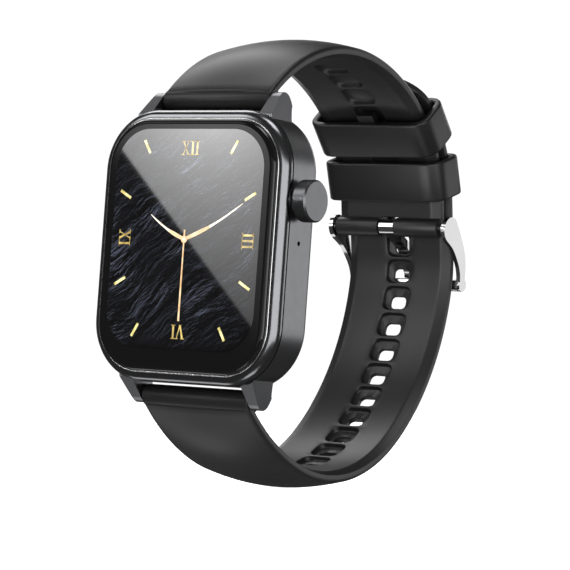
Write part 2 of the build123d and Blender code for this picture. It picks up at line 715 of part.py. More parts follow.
with BuildPart() as buckle_tongue:
    rod(1.45, -TONGUE_HALF, TONGUE_HALF, BAR_Y, BAR_Z)
    prong_plane = Plane(origin=(-PRONG_HALF, BAR_Y, BAR_Z), x_dir=(0, 1, 0), z_dir=(1, 0, 0))
    with BuildSketch(prong_plane) as prong:
        with BuildLine():
            Polyline(
                (1.2, -0.3),
                (5.8, -2.65),
                (8.9, -7.5),
                (9.2, -10.9),
                (8.3, -11.3),
                (8.1, -8.2),
                (5.2, -3.75),
                (-0.3, -0.9),
                close=True,
            )
        make_face()
    extrude(prong.sketch, amount=2 * PRONG_HALF)
    rod(BUCKLE_BARREL_RADIUS + RUNNING_GAP, -2, 2, BAR_Y, BAR_Z, Mode.SUBTRACT)
save(buckle_tongue, "buckle_tongue")

# ---- spring bars: a tube, two sprung tips and the spring between them ----


def bar_barrel(radius, bore, start, end, y, z):
    """The tube of a spring bar."""
    with BuildPart() as barrel:
        rod(radius, start, end, y, z)
        rod(bore, start, end, y, z, Mode.SUBTRACT)
    return barrel


def bar_tip(radius, side, inner, outer, y, z):
    """One sliding end of a spring bar, with a lead-in chamfer."""
    start, end = (inner, outer) if side > 0 else (-outer, -inner)
    with BuildPart() as tip:
        rod(radius, start, end, y, z)
        chamfer(tip.edges().filter_by(GeomType.CIRCLE).sort_by(Axis.X)[-1 if side > 0 else 0], 0.15)
    return tip


SPRING_DEPTH = 0.26
SPRING_ROOM = 0.14
SPRING_DISCS = 14


def bar_spring(radius, half, y, z):
    """The spring inside a spring bar."""
    with BuildPart() as spring:
        add(disc_spring(radius - SPRING_DEPTH, radius - SPRING_ROOM, -half, half, SPRING_DISCS, y, z))
    return spring


TIP_BORE = TIP_RADIUS + RUNNING_GAP
BUCKLE_TIP_BORE = BUCKLE_TIP_RADIUS + RUNNING_GAP
BUCKLE_BAR_START = FRAME_SHIFT - PLATE_X + RUNNING_GAP
BUCKLE_BAR_END = FRAME_SHIFT + PLATE_X - RUNNING_GAP
for word, z in (("upper", PIVOT_Z), ("lower", -PIVOT_Z)):
    barrel = bar_barrel(BARREL_RADIUS, TIP_BORE, -BARREL_HALF, BARREL_HALF, PIVOT_Y, z)
    save(barrel, f"{word}_bar_barrel")
    save(bar_spring(TIP_RADIUS, TIP_INNER - RUNNING_GAP, PIVOT_Y, z), f"{word}_bar_spring")
barrel = bar_barrel(BUCKLE_BARREL_RADIUS, BUCKLE_TIP_BORE, BUCKLE_BAR_START, BUCKLE_BAR_END, BAR_Y, BAR_Z)
save(barrel, "buckle_bar_barrel")
save(bar_spring(BUCKLE_TIP_RADIUS, TIP_INNER - RUNNING_GAP, BAR_Y, BAR_Z), "buckle_bar_spring")
for side, word in ((-1, "left"), (1, "right")):
    save(bar_tip(TIP_RADIUS, side, TIP_INNER, TIP_OUTER, PIVOT_Y, PIVOT_Z), f"upper_bar_tip_{word}")
    outer = PLATE_X + PLATE_HOLE_DEPTH + side * FRAME_SHIFT
    save(bar_tip(BUCKLE_TIP_RADIUS, side, TIP_INNER, outer, BAR_Y, BAR_Z), f"buckle_bar_tip_{word}")

with BuildPart() as lower_bar_tips:
    for side in (-1, 1):
        add(bar_tip(TIP_RADIUS, side, TIP_INNER, TIP_OUTER, PIVOT_Y, -PIVOT_Z).part)
save(lower_bar_tips, "lower_bar_tips")
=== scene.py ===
import json
from bisect import bisect
from math import atan2, ceil, cos, hypot, pi, radians, sin, sqrt

import bmesh
import bpy
from mathutils import Matrix, Vector


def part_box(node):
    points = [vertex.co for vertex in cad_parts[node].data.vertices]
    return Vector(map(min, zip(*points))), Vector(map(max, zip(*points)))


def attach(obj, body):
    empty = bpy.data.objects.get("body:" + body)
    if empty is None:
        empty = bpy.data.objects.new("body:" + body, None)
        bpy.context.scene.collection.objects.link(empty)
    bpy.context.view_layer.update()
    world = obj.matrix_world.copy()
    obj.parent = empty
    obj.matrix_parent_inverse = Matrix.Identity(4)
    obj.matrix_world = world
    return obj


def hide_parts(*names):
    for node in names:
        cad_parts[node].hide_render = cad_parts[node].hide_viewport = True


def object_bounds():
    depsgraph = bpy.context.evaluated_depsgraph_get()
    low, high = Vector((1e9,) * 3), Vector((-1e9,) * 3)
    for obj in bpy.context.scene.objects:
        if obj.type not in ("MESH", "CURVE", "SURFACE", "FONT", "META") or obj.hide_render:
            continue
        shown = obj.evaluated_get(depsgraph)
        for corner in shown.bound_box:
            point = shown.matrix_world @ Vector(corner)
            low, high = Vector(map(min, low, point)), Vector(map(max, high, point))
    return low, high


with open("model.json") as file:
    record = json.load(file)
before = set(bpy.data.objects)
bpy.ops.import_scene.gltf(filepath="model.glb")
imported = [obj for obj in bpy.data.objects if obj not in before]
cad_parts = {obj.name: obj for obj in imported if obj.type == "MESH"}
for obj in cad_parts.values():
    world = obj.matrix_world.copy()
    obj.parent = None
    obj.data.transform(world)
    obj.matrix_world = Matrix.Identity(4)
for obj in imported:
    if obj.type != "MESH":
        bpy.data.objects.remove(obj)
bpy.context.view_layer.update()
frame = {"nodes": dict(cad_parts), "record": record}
nodes = frame["nodes"]
scene = bpy.context.scene
MM = 0.001

# ---- driving dimensions, in millimetres, as in the CAD source ----
BAND_HALF = 11.0
PIVOT = (-4.0, 25.1)
LUG_TUBE_RADIUS = 1.9
ARCH_RADIUS, ARCH_START, ARCH_END = 35.5, 46.0, -38.8
SHOULDER_RADIUS, SHOULDER_END = 25.6, -80.4
BAR_RUN, BAR_TUBE_RADIUS = 4.7, 1.75
LAP = 3.0
CHIN_RADIUS, CHIN_START, CHIN_END = 41.0, -45.0, -18.2
BASE_END, BACK_END, HEEL_RADIUS = 41.3, 84.0, 22.0
BUCKLE_RUN, TAIL_TURN, TIP_LENGTH = 10.0, 9.5, 7.4
SIDE_DEPTH, RIM_DEPTH, RIM_WIDTH, PANEL_DEPTH = 1.2, 1.9, 1.9, 1.4
UPPER_CROWN = [(0.0, 0.25), (12.0, 1.3), (26.0, 1.4), (40.0, 1.1), (54.0, 0.6), (75.8, 0.3)]
LOWER_CROWN = [(0.0, 0.25), (12.0, 1.5), (28.0, 1.6), (46.0, 1.0), (64.0, 0.3), (84.0, 0.06)]
TONGUE_HOLE_Z = 6.15
HOLE_PITCH, HOLE_WIDTH, HOLE_LENGTH, HOLE_OFFSET, HOLE_CORNER = 5.25, 3.3, 2.3, 0.7, 0.9
TONGUE_HOLE_WIDTH, TONGUE_HOLE_LENGTH = 3.0, 3.6
POCKET_WIDTH, POCKET_LENGTH, POCKET_DEPTH = 5.6, 4.6, 0.8
HOLES_BELOW, HOLES_ABOVE, UPPER_POCKETS, NUB_ANGLE = 10, 5, 7, 16.0
SLOT_HALF, SLOT_DEPTH, SLOT_HEIGHT = 1.8, 6.4, 3.9
KEEPER_LENGTH, KEEPER_WALL, KEEPER_SIDE_GAP = 7.2, 1.5, 0.25
KEEPER_INNER, KEEPER_DEPTH = 2.95, 6.3
FREE_KEEPER_ANGLE, FIXED_KEEPER_ANGLE = 41.7, 19.5
LUG_BORE_RADIUS, BAR_BORE_RADIUS = 0.95, 0.8
BEZEL_FRONT = 10.6

# ---------------------------------------------------------------- materials


def new_material(name):
    """An empty node material: (material, add a node, link two sockets, shader)."""
    material = bpy.data.materials.new(name)
    material.use_nodes = True
    tree = material.node_tree
    shader = tree.nodes["Principled BSDF"]

    def add(kind, **settings):
        node = tree.nodes.new(kind)
        for key, value in settings.items():
            if hasattr(node, key):
                setattr(node, key, value)
            else:
                node.inputs[key.replace("_", " ")].default_value = value
        return node

    return material, add, tree.links.new, shader


RELIEF_DEPTH = 0.00002
COAT_ROUGHNESS = 0.03
BROAD_GRAIN = 12


def surface(name, dark, light, rough, metallic=0.0, grain=900.0, bump=0.05, stretch=(1, 1, 1),
            coat=0.0, specular=0.5):
    """A solid material whose tone, roughness and fine relief vary with a noise."""
    material, add, link, shader = new_material(name)
    place = add("ShaderNodeTexCoord").outputs["Object"]
    mapping = add("ShaderNodeMapping")
    mapping.inputs["Scale"].default_value = stretch
    link(place, mapping.inputs["Vector"])
    fine = add("ShaderNodeTexNoise", Scale=grain, Detail=4.0, Roughness=0.6)
    broad = add("ShaderNodeTexNoise", Scale=grain / BROAD_GRAIN, Detail=2.0, Roughness=0.5)
    for noise in (fine, broad):
        link(mapping.outputs["Vector"], noise.inputs["Vector"])
    tone = add("ShaderNodeMix", data_type="RGBA")
    colour_in = [socket for socket in tone.inputs if socket.type == "RGBA"]
    colour_in[0].default_value = (*dark, 1)
    colour_in[1].default_value = (*light, 1)
    link(broad.outputs["Fac"], tone.inputs["Factor"])
    link([socket for socket in tone.outputs if socket.type == "RGBA"][0], shader.inputs["Base Color"])
    spread = add("ShaderNodeMapRange")
    spread.inputs["To Min"].default_value = rough[0]
    spread.inputs["To Max"].default_value = rough[1]
    link(fine.outputs["Fac"], spread.inputs["Value"])
    link(spread.outputs["Result"], shader.inputs["Roughness"])
    relief = add("ShaderNodeBump", Strength=bump)
    relief.inputs["Distance"].default_value = RELIEF_DEPTH
    link(fine.outputs["Fac"], relief.inputs["Height"])
    link(relief.outputs["Normal"], shader.inputs["Normal"])
    shader.inputs["Metallic"].default_value = metallic
    shader.inputs["Coat Weight"].default_value = coat
    shader.inputs["Coat Roughness"].default_value = COAT_ROUGHNESS
    shader.inputs["Specular IOR Level"].default_value = specular
    return material


FLAT_FACING, RIM_FACING = -0.80, -0.45
FLAT_SPECULAR, RIM_SPECULAR = 0.08, 1.0


def gloss_towards_the_rim(material):
    """Lets the steep outer part of the glass's rounded edge shine more than its flat, coated face."""
    tree = material.node_tree
    shader = tree.nodes["Principled BSDF"]
    facing = tree.nodes.new("ShaderNodeSeparateXYZ")
    tree.links.new(tree.nodes.new("ShaderNodeTexCoord").outputs["Normal"], facing.inputs[0])
    level = tree.nodes.new("ShaderNodeMapRange")
    level.inputs["From Min"].default_value = FLAT_FACING
    level.inputs["From Max"].default_value = RIM_FACING
    level.inputs["To Min"].default_value = FLAT_SPECULAR
    level.inputs["To Max"].default_value = RIM_SPECULAR
    tree.links.new(facing.outputs["Y"], level.inputs["Value"])
    tree.links.new(level.outputs["Result"], shader.inputs["Specular IOR Level"])


def grey(value, tint=(1.0, 1.0, 1.0)):
    """A grey of one linear value, with a slight tint."""
    return tuple(value * part for part in tint)


COOL = (0.98, 0.99, 1.03)
rubber = surface("silicone_rubber", grey(0.0085), grey(0.0110), (0.36, 0.44), grain=2600, bump=0.12)
# keeper_rubber is the strap's silicone at about half its brightness: the darker tone is painted shade on the
# keepers, not a darker rubber.
keeper_rubber = surface("keeper_rubber", grey(0.0042), grey(0.0056), (0.36, 0.44), grain=2600, bump=0.12)
case_metal = surface("satin_gunmetal", grey(0.20, COOL), grey(0.24, COOL), (0.30, 0.36), metallic=1.0,
                     grain=5200, bump=0.10)
bezel_metal = surface("polished_gunmetal", grey(0.22, COOL), grey(0.25, COOL), (0.18, 0.23), metallic=1.0,
                      grain=5200, bump=0.04)
crown_metal = surface("crown_gunmetal", grey(0.17, COOL), grey(0.20, COOL), (0.30, 0.38), metallic=1.0,
                      grain=6000, bump=0.12)
seal = surface("black_seal", grey(0.006), grey(0.010), (0.5, 0.6), grain=1800, bump=0.1)
glass = surface("black_printed_glass", grey(0.0055), grey(0.0065), (0.05, 0.07), grain=500, bump=0.0,
                specular=0.14)
gloss_towards_the_rim(glass)
panel = surface("display_panel", grey(0.004), grey(0.006), (0.15, 0.2), grain=800)
film = surface("amber_flex", (0.30, 0.13, 0.03), (0.38, 0.18, 0.05), (0.25, 0.35), grain=1500, coat=0.5)
inner_plastic = surface("inner_plastic", grey(0.02), grey(0.03), (0.5, 0.6), grain=1800, bump=0.2)
battery_wrap = surface("battery_foil", grey(0.26, COOL), grey(0.33, COOL), (0.28, 0.42), metallic=0.6,
                       grain=900, bump=0.3)
board = surface("solder_mask", (0.008, 0.05, 0.022), (0.014, 0.075, 0.035), (0.2, 0.35), grain=2500,
                bump=0.25, coat=0.4)
chip = surface("chip_epoxy", grey(0.012), grey(0.022), (0.5, 0.65), grain=4000, bump=0.2)
tin = surface("tinned_plate", (0.60, 0.60, 0.57), (0.70, 0.70, 0.66), (0.25, 0.38), metallic=1.0,
              grain=1800, bump=0.2)
mesh_metal = surface("acoustic_mesh", grey(0.05), grey(0.12), (0.35, 0.6), metallic=1.0,
                     grain=9000, bump=0.9)
steel = surface("ground_steel", grey(0.50, COOL), grey(0.62, COOL), (0.18, 0.32), metallic=1.0, grain=1400,
                bump=0.15, stretch=(0.1, 1, 1))
rear_plastic = surface("rear_plastic", grey(0.014), grey(0.019), (0.22, 0.30), grain=3000, bump=0.15)
screw_steel = surface("black_screws", grey(0.05), grey(0.08), (0.3, 0.4), metallic=1.0, grain=3000, bump=0.2)
window = surface("sensor_window", grey(0.004), grey(0.006), (0.05, 0.08), grain=700, coat=1.0)
resin = surface("led_resin", (0.05, 0.32, 0.10), (0.08, 0.42, 0.15), (0.08, 0.15), grain=900, coat=1.0)
gold = surface("gold_plating", (0.78, 0.52, 0.20), (0.86, 0.60, 0.26), (0.15, 0.25), metallic=1.0,
               grain=2500, bump=0.1)
chrome = surface("polished_steel", grey(0.50), grey(0.56), (0.10, 0.16), metallic=1.0, grain=1500, bump=0.05)
trim_metal = surface("bright_trim", grey(0.80), grey(0.88), (0.20, 0.26), metallic=1.0, grain=1500,
                     bump=0.02)

SLOT_MATERIALS = {
    "case_metal": case_metal, "bezel_metal": bezel_metal, "black_seal": seal, "cover_glass": glass,
    "display": panel, "flex_film": film, "inner_plastic": inner_plastic, "battery_wrap": battery_wrap,
    "circuit_board": board, "chip_plastic": chip, "tin_plate": tin, "mesh_metal": mesh_metal,
    "plain_steel": steel, "rear_plastic": rear_plastic, "screw_steel": screw_steel,
    "sensor_glass": window, "led_resin": resin, "gold_contact": gold, "crown_metal": crown_metal,
    "strap_rubber": rubber, "keeper_rubber": keeper_rubber, "buckle_metal": chrome,
}
for row in frame["record"]["subparts"]:
    node = nodes[row["node"]]
    node.data.materials.clear()
    node.data.materials.append(SLOT_MATERIALS[row["material_slot"]])

# ---------------------------------------------------------------- mesh helpers


def mesh_piece(name, points, faces, material, body, slot, angle=40.0):
    """A mesh from points in millimetres, riding on a body, smooth below an angle between faces."""
    mesh = bpy.data.meshes.new(name)
    mesh.from_pydata([[value * MM for value in point] for point in points], [], faces)
    bm = bmesh.new()
    bm.from_mesh(mesh)
    bmesh.ops.remove_doubles(bm, verts=bm.verts, dist=1e-6)
    bmesh.ops.recalc_face_normals(bm, faces=bm.faces)
    bm.to_mesh(mesh)
    bm.free()
    piece = bpy.data.objects.new(name, mesh)
    scene.collection.objects.link(piece)
    mesh.materials.append(material)
    mesh.shade_smooth()
    mesh.set_sharp_from_angle(angle=radians(angle))
    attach(piece, body)
    return piece


def cut_or_join(piece, points, faces, operation):
    """A Boolean with a closed shape given in millimetres, applied at once."""
    tool_mesh = bpy.data.meshes.new("tool")
    tool_mesh.from_pydata([[value * MM for value in point] for point in points], [], faces)
    bm = bmesh.new()
    bm.from_mesh(tool_mesh)
    bmesh.ops.recalc_face_normals(bm, faces=bm.faces)
    bm.to_mesh(tool_mesh)
    bm.free()
    tool = bpy.data.objects.new("tool", tool_mesh)
    scene.collection.objects.link(tool)
    step = piece.modifiers.new("step", "BOOLEAN")
    step.operation = operation
    step.solver = "EXACT"
    step.object = tool
    evaluated = piece.evaluated_get(bpy.context.evaluated_depsgraph_get())
    result = bpy.data.meshes.new_from_object(evaluated)
    piece.modifiers.remove(step)
    old = piece.data
    piece.data = result
    bpy.data.meshes.remove(old)
    bpy.data.objects.remove(tool)


def rings_to_faces(count, size, closed_ends=True):
    """Quads between successive closed rings of one size, with the two ends filled."""
    faces = [
        (i * size + j, i * size + (j + 1) % size, (i + 1) * size + (j + 1) % size, (i + 1) * size + j)
        for i in range(count - 1)
        for j in range(size)
    ]
    if closed_ends:
        faces.append(tuple(reversed(range(size))))
        faces.append(tuple(range((count - 1) * size, count * size)))
    return faces


def closed_loop_faces(count, size):
    """Quads between successive closed rings, the last of which joins the first."""
    return [
        (i * size + j, i * size + (j + 1) % size, (i + 1) % count * size + (j + 1) % size,
         (i + 1) % count * size + j)
        for i in range(count)
        for j in range(size)
    ]


def barrel(y, z, radius, half, edge=0.25, size=48):
    """The points and faces of a rod along X with rounded rims."""
    stations = [(-half, radius - edge)]
    stations += [(-half + edge - edge * cos(t), radius - edge + edge * sin(t)) for t in (0.5, 1.0, pi / 2)]
    stations += [(-x, r) for x, r in reversed(stations)]
    points = [
        (x, y + r * cos(2 * pi * k / size), z + r * sin(2 * pi * k / size))
        for x, r in stations
        for k in range(size)
    ]
    return points, rings_to_faces(len(stations), size)


def rounded_border(half_x, half_y, corner, u, v):
    """The point of a rounded rectangle that stands for a point on the border of the unit square."""
    x, y = u * half_x, v * half_y
    core_x = max(-(half_x - corner), min(half_x - corner, x))
    core_y = max(-(half_y - corner), min(half_y - corner, y))
    out_x, out_y = x - core_x, y - core_y
    if out_x and out_y:
        share = corner / hypot(out_x, out_y)
        return core_x + out_x * share, core_y + out_y * share
    return x, y


# ---------------------------------------------------------------- the band's route


def along(heading):
    """The unit step (y, z) for a heading in degrees from +Y towards +Z."""
    return cos(radians(heading)), sin(radians(heading))


def shifted(point, heading, distance):
    """The point at a distance from another along a heading."""
    step = along(heading)
    return point[0] + step[0] * distance, point[1] + step[1] * distance


class Route:
    """A line of tangent arcs and straight runs, read by distance along it."""

    def __init__(self, start, heading, steps):
        self.parts, self.starts, travelled, point = [], [], 0.0, start
        for radius, amount in steps:
            self.starts.append(travelled)
            self.parts.append((point, heading, radius, amount))
            travelled += amount if radius is None else radius * radians(abs(amount))
            point, heading = self._inside(self.parts[-1], travelled - self.starts[-1])
        self.length = travelled

    @staticmethod
    def _inside(part, distance):
        """((y, z), heading) at a distance into one arc or run."""
        point, heading, radius, amount = part
        if radius is None:
            return shifted(point, heading, distance), heading
        side = 90 if amount > 0 else -90
        centre = shifted(point, heading + side, radius)
        turned = heading + (1 if amount > 0 else -1) * distance / radius * 180 / pi
        return shifted(centre, turned - side, radius), turned

    def at(self, distance):
        """((y, z), heading) at a distance, straight on beyond the ends."""
        if distance < 0:
            return shifted(self.parts[0][0], self.parts[0][1], distance), self.parts[0][1]
        if distance > self.length:
            point, heading = self.at(self.length)
            return shifted(point, heading, distance - self.length), heading
        index = bisect(self.starts, distance) - 1
        return self._inside(self.parts[index], distance - self.starts[index])

    def distance_at_height(self, z, low, high):
        """Where a rising stretch reaches a height."""
        for _ in range(40):
            middle = (low + high) / 2
            if self.at(middle)[0][1] < z:
                low = middle
            else:
                high = middle
        return low


def arc_span(radius, start, end):
    """The (y, z) from the start to the end of an anticlockwise arc."""
    first, last = along(start - 90), along(end - 90)
    return (last[0] - first[0]) * radius, (last[1] - first[1]) * radius


def cross(a, b):
    """The cross product of two plane vectors."""
    return a[0] * b[1] - a[1] * b[0]


upper_start = shifted(PIVOT, ARCH_START + 90, LUG_TUBE_RADIUS)
arch_centre = shifted(upper_start, ARCH_START - 90, ARCH_RADIUS)
shoulder_centre = shifted(arch_centre, ARCH_END + 90, ARCH_RADIUS - SHOULDER_RADIUS)
shoulder_end = shifted(shoulder_centre, SHOULDER_END + 90, SHOULDER_RADIUS)
BAR = shifted(shifted(shoulder_end, SHOULDER_END, BAR_RUN), SHOULDER_END - 90, BAR_TUBE_RADIUS)
lower_start = shifted((PIVOT[0], -PIVOT[1]), CHIN_START - 90, LUG_TUBE_RADIUS)
lap_end = shifted(shoulder_centre, SHOULDER_END + 90, SHOULDER_RADIUS + LAP)
heel_end = shifted(lap_end, SHOULDER_END, BUCKLE_RUN)
TAIL_HEADING = SHOULDER_END + 180
chin = arc_span(CHIN_RADIUS, CHIN_START, CHIN_END)
heel = arc_span(HEEL_RADIUS, BACK_END, TAIL_HEADING)
gap = (heel_end[0] - heel[0] - lower_start[0] - chin[0], heel_end[1] - heel[1] - lower_start[1] - chin[1])
base_unit, back_unit = arc_span(1, CHIN_END, BASE_END), arc_span(1, BASE_END, BACK_END)
BASE_RADIUS = cross(gap, back_unit) / cross(base_unit, back_unit)
BACK_RADIUS = cross(base_unit, gap) / cross(base_unit, back_unit)

upper_route = Route(upper_start, ARCH_START, [
    (ARCH_RADIUS, ARCH_END - ARCH_START),
    (SHOULDER_RADIUS, SHOULDER_END - ARCH_END),
    (None, BAR_RUN),
])
lower_route = Route(lower_start, CHIN_START, [
    (CHIN_RADIUS, CHIN_END - CHIN_START),
    (BASE_RADIUS, BASE_END - CHIN_END),
    (BACK_RADIUS, BACK_END - BASE_END),
    (HEEL_RADIUS, TAIL_HEADING - BACK_END),
    (None, BUCKLE_RUN),
    (SHOULDER_RADIUS + LAP, ARCH_END - SHOULDER_END),
    (ARCH_RADIUS + LAP, TAIL_TURN),
])
TONGUE_HOLE = lower_route.distance_at_height(TONGUE_HOLE_Z, 60, 110)
SHOULDER_PASSING = ARCH_RADIUS * radians(ARCH_START - ARCH_END)
NUB_DISTANCE = SHOULDER_PASSING + SHOULDER_RADIUS * radians(ARCH_END + 90 - NUB_ANGLE)

# ---------------------------------------------------------------- the two straps

CELL_HALF = 4.0
CELL_STEPS = 8
EDGE_ROUND = 0.5
RIM_ROUND = 0.22
END_MIDDLE, END_SHARE = -0.6, 0.35
EDGE_POINTS = 11
RING_STEP, TIP_STEP = 1.3, 0.55
SMOOTH_ANGLE = 38
INNER_COLUMNS = [-8.3, -7.0, -5.5, *range(-4, 5), 5.5, 7.0, 8.3]
OUTER_COLUMNS = [-10.2, -9.2, -7.6, -5.8, *range(-4, 5), 5.8, 7.6, 9.2, 10.2]


def smooth_between(stops, distance):
    """A smooth reading of (distance, value) stops."""
    if distance <= stops[0][0]:
        return stops[0][1]
    for (d0, v0), (d1, v1) in zip(stops, stops[1:]):
        if distance <= d1:
            t = (distance - d0) / (d1 - d0)
            return v0 + (v1 - v0) * t * t * (3 - 2 * t)
    return stops[-1][1]


class Band:
    """A strap's surfaces over (x, distance): the outer face, the hollow inner face and the rounded edges."""

    def __init__(self, route, outward, crowns, first, last, round_tip):
        self.route, self.outward, self.crowns = route, outward, crowns
        self.first, self.last, self.round_tip = first, last, round_tip
        self.points, self.faces = [], []

    def width(self, distance):
        """The half width, which rounds off at the tail's tip."""
        left = self.last - distance
        if not self.round_tip or left >= TIP_LENGTH:
            return BAND_HALF
        flat = BAND_HALF - TIP_LENGTH
        return flat + sqrt(max(0.0, TIP_LENGTH**2 - (TIP_LENGTH - left) ** 2))

    def outer(self, x, distance):
        """The height of the crowned outer face."""
        return smooth_between(self.crowns, distance) * (1 - (x / BAND_HALF) ** 2)

    @staticmethod
    def inner(x):
        """The height of the hollow inner face."""
        half = BAND_HALF - RIM_WIDTH
        return -RIM_DEPTH + (RIM_DEPTH - PANEL_DEPTH) * (1 - (x / half) ** 2)

    def place(self, x, distance, height):
        """The point that stands a height out of the route. A tail's tip narrows, and both ends round off."""
        ends = min(distance - self.first, self.last - distance)
        if ends < EDGE_ROUND:
            share = sqrt(max(0.0, 1 - (1 - max(ends, 0.0) / EDGE_ROUND) ** 2))
            height = END_MIDDLE + (height - END_MIDDLE) * (END_SHARE + (1 - END_SHARE) * share)
        x *= self.width(distance) / BAND_HALF
        point, heading = self.route.at(distance)
        y, z = shifted(point, heading + 90 * self.outward, height)
        return x, y, z

    def section(self, distance):
        """The closed ring of points across the band: outer face, one edge, inner face, other edge."""
        top = EDGE_ROUND
        ring = [(x, self.outer(x, distance)) for x in OUTER_COLUMNS]
        edge = [
            (BAND_HALF - top + top * cos(t), -top + (top + self.outer(BAND_HALF - top, distance)) * sin(t))
            for t in (1.35, 1.0, 0.65, 0.3, 0.0)
        ]
        edge.append((BAND_HALF, -SIDE_DEPTH + RIM_ROUND))
        edge.append((BAND_HALF - 0.08, -SIDE_DEPTH - 0.05))
        edge.append((BAND_HALF - 0.28, -SIDE_DEPTH - 0.17))
        rim = BAND_HALF - RIM_WIDTH
        edge.append((rim + 0.30, -RIM_DEPTH + 0.10))
        edge.append((rim + 0.10, -RIM_DEPTH + 0.01))
        edge.append((rim - 0.15, self.inner(rim - 0.15)))
        ring += edge
        ring += [(x, self.inner(x)) for x in reversed(INNER_COLUMNS)]
        ring += [(-x, h) for x, h in reversed(edge)]
        return ring

    def rows(self, cells):
        """Distances of the rings: even steps, finer at the ends and matched to each hole's cell."""
        stops = [self.first + EDGE_ROUND * f for f in (0, 0.08, 0.3, 0.6, 1.0)]
        if cells:
            start, end = cells[0] - HOLE_PITCH / 2, cells[-1] + HOLE_PITCH / 2
            steps = ceil((start - stops[-1]) / RING_STEP)
            stops += [stops[-1] + (start - stops[-1]) * n / steps for n in range(1, steps)]
            steps = CELL_STEPS * len(cells)
            stops += [start + (end - start) * n / steps for n in range(steps)]
        else:
            end = stops.pop()
        finish = self.last - EDGE_ROUND
        pace = TIP_STEP if self.round_tip else RING_STEP
        steps = ceil((finish - end) / pace)
        stops += [end + (finish - end) * n / steps for n in range(steps)]
        return stops + [self.last - EDGE_ROUND * f for f in (1.0, 0.6, 0.3, 0.08, 0)]

    def quad(self, corners):
        """Adds one face of its own points."""
        start = len(self.points)
        self.points += corners
        self.faces.append(tuple(range(start, start + len(corners))))

    def build(self, cells, holes):
        """Every face of the strap, with a pocket and any hole (width, length, offset) in each cell."""
        through = holes[0] is not None
        rows = self.rows(cells)
        rings = [[self.place(x, d, h) for x, h in self.section(d)] for d in rows]
        size = len(rings[0])
        columns = self.section(rows[0])
        first_inner = len(OUTER_COLUMNS) + EDGE_POINTS
        for i in range(len(rings) - 1):
            middle = (rows[i] + rows[i + 1]) / 2
            in_cell = cells and cells[0] - HOLE_PITCH / 2 < middle < cells[-1] + HOLE_PITCH / 2
            for j in range(size):
                k = (j + 1) % size
                across = (columns[j][0] + columns[k][0]) / 2
                on_inner = first_inner <= j < first_inner + len(INNER_COLUMNS) - 1
                on_outer = j < len(OUTER_COLUMNS) - 1
                if in_cell and abs(across) < CELL_HALF and (on_inner or (through and on_outer)):
                    continue
                self.quad([rings[i][j], rings[i][k], rings[i + 1][k], rings[i + 1][j]])
        for ring, turn in ((rings[0], 1), (rings[-1], -1)):
            self.quad(ring[::turn])
        for middle, hole in zip(cells, holes):
            self.hole(middle, hole)
        return self.points, self.faces

    def hole(self, middle, hole):
        """The rings of one pocket, from its cell's border inwards, and on to the outer face for a hole."""
        steps = [2 * n / CELL_STEPS - 1 for n in range(CELL_STEPS)]
        border = [(t, -1) for t in steps] + [(1, t) for t in steps]
        border += [(-t, 1) for t in steps] + [(-1, -t) for t in steps]
        half_x, half_y = POCKET_WIDTH / 2, POCKET_LENGTH / 2
        tiers = [
            (CELL_HALF, HOLE_PITCH / 2, 0.0, 0.0, middle),
            (half_x + 0.30, half_y + 0.20, 1.6, 0.0, middle),
            (half_x + 0.14, half_y + 0.08, 1.5, 0.03, middle),
            (half_x + 0.03, half_y + 0.01, 1.42, 0.14, middle),
            (half_x, half_y - 0.02, 1.4, 0.3, middle),
            (half_x - 0.16, half_y - 0.16, 1.3, POCKET_DEPTH - 0.12, middle),
            (half_x - 0.22, half_y - 0.22, 1.25, POCKET_DEPTH - 0.03, middle),
            (half_x - 0.30, half_y - 0.30, 1.2, POCKET_DEPTH, middle),
        ]
        if hole:
            wide, long, place = hole[0] / 2, hole[1] / 2, middle + hole[2]
            tiers += [
                (wide + 0.12, long + 0.09, HOLE_CORNER + 0.06, POCKET_DEPTH, place),
                (wide + 0.04, long + 0.03, HOLE_CORNER + 0.02, POCKET_DEPTH + 0.05, place),
                (wide, long, HOLE_CORNER, POCKET_DEPTH + 0.17, place),
            ]
        loops = []
        for a, b, corner, depth, centre in tiers:
            loop = []
            for u, v in border:
                x, y = rounded_border(a, b, corner, u, v)
                loop.append(self.place(x, centre + y, self.inner(x) + depth))
            loops.append(loop)
        if hole:
            for grow, drop in ((0.0, 0.16), (0.05, 0.04), (0.18, 0.0)):
                loop = []
                for u, v in border:
                    x, y = rounded_border(wide + grow, long + grow, HOLE_CORNER, u, v)
                    loop.append(self.place(x, place + y, self.outer(x, place + y) - drop))
                loops.append(loop)
            loops.append([
                self.place(u * CELL_HALF, middle + v * HOLE_PITCH / 2,
                           self.outer(u * CELL_HALF, middle + v * HOLE_PITCH / 2))
                for u, v in border
            ])
        size = len(border)
        for one, two in zip(loops, loops[1:]):
            for j in range(size):
                k = (j + 1) % size
                self.quad([one[j], one[k], two[k], two[j]])
        if not hole:
            self.quad(loops[-1])


def bore(piece, y, z, radius):
    """A round hole right through a strap's end, for its spring bar."""
    points, faces = barrel(y, z, radius, BAND_HALF + 1, edge=0.01, size=32)
    cut_or_join(piece, points, faces, "DIFFERENCE")


def finish_strap(piece):
    """Smooth shading again, after the strap's Booleans."""
    piece.data.shade_smooth()
    piece.data.set_sharp_from_angle(angle=radians(SMOOTH_ANGLE))


upper_band = Band(upper_route, 1, UPPER_CROWN, 0.0, upper_route.length, False)
upper_cells = [NUB_DISTANCE - HOLE_PITCH * i for i in reversed(range(UPPER_POCKETS))]
no_holes = [None] * UPPER_POCKETS
upper_strap = mesh_piece("upper_strap_rubber", *upper_band.build(upper_cells, no_holes), rubber,
                         "band", "strap_rubber")
cut_or_join(upper_strap, *barrel(*PIVOT, LUG_TUBE_RADIUS, BAND_HALF), "UNION")
cut_or_join(upper_strap, *barrel(*BAR, BAR_TUBE_RADIUS, BAND_HALF), "UNION")


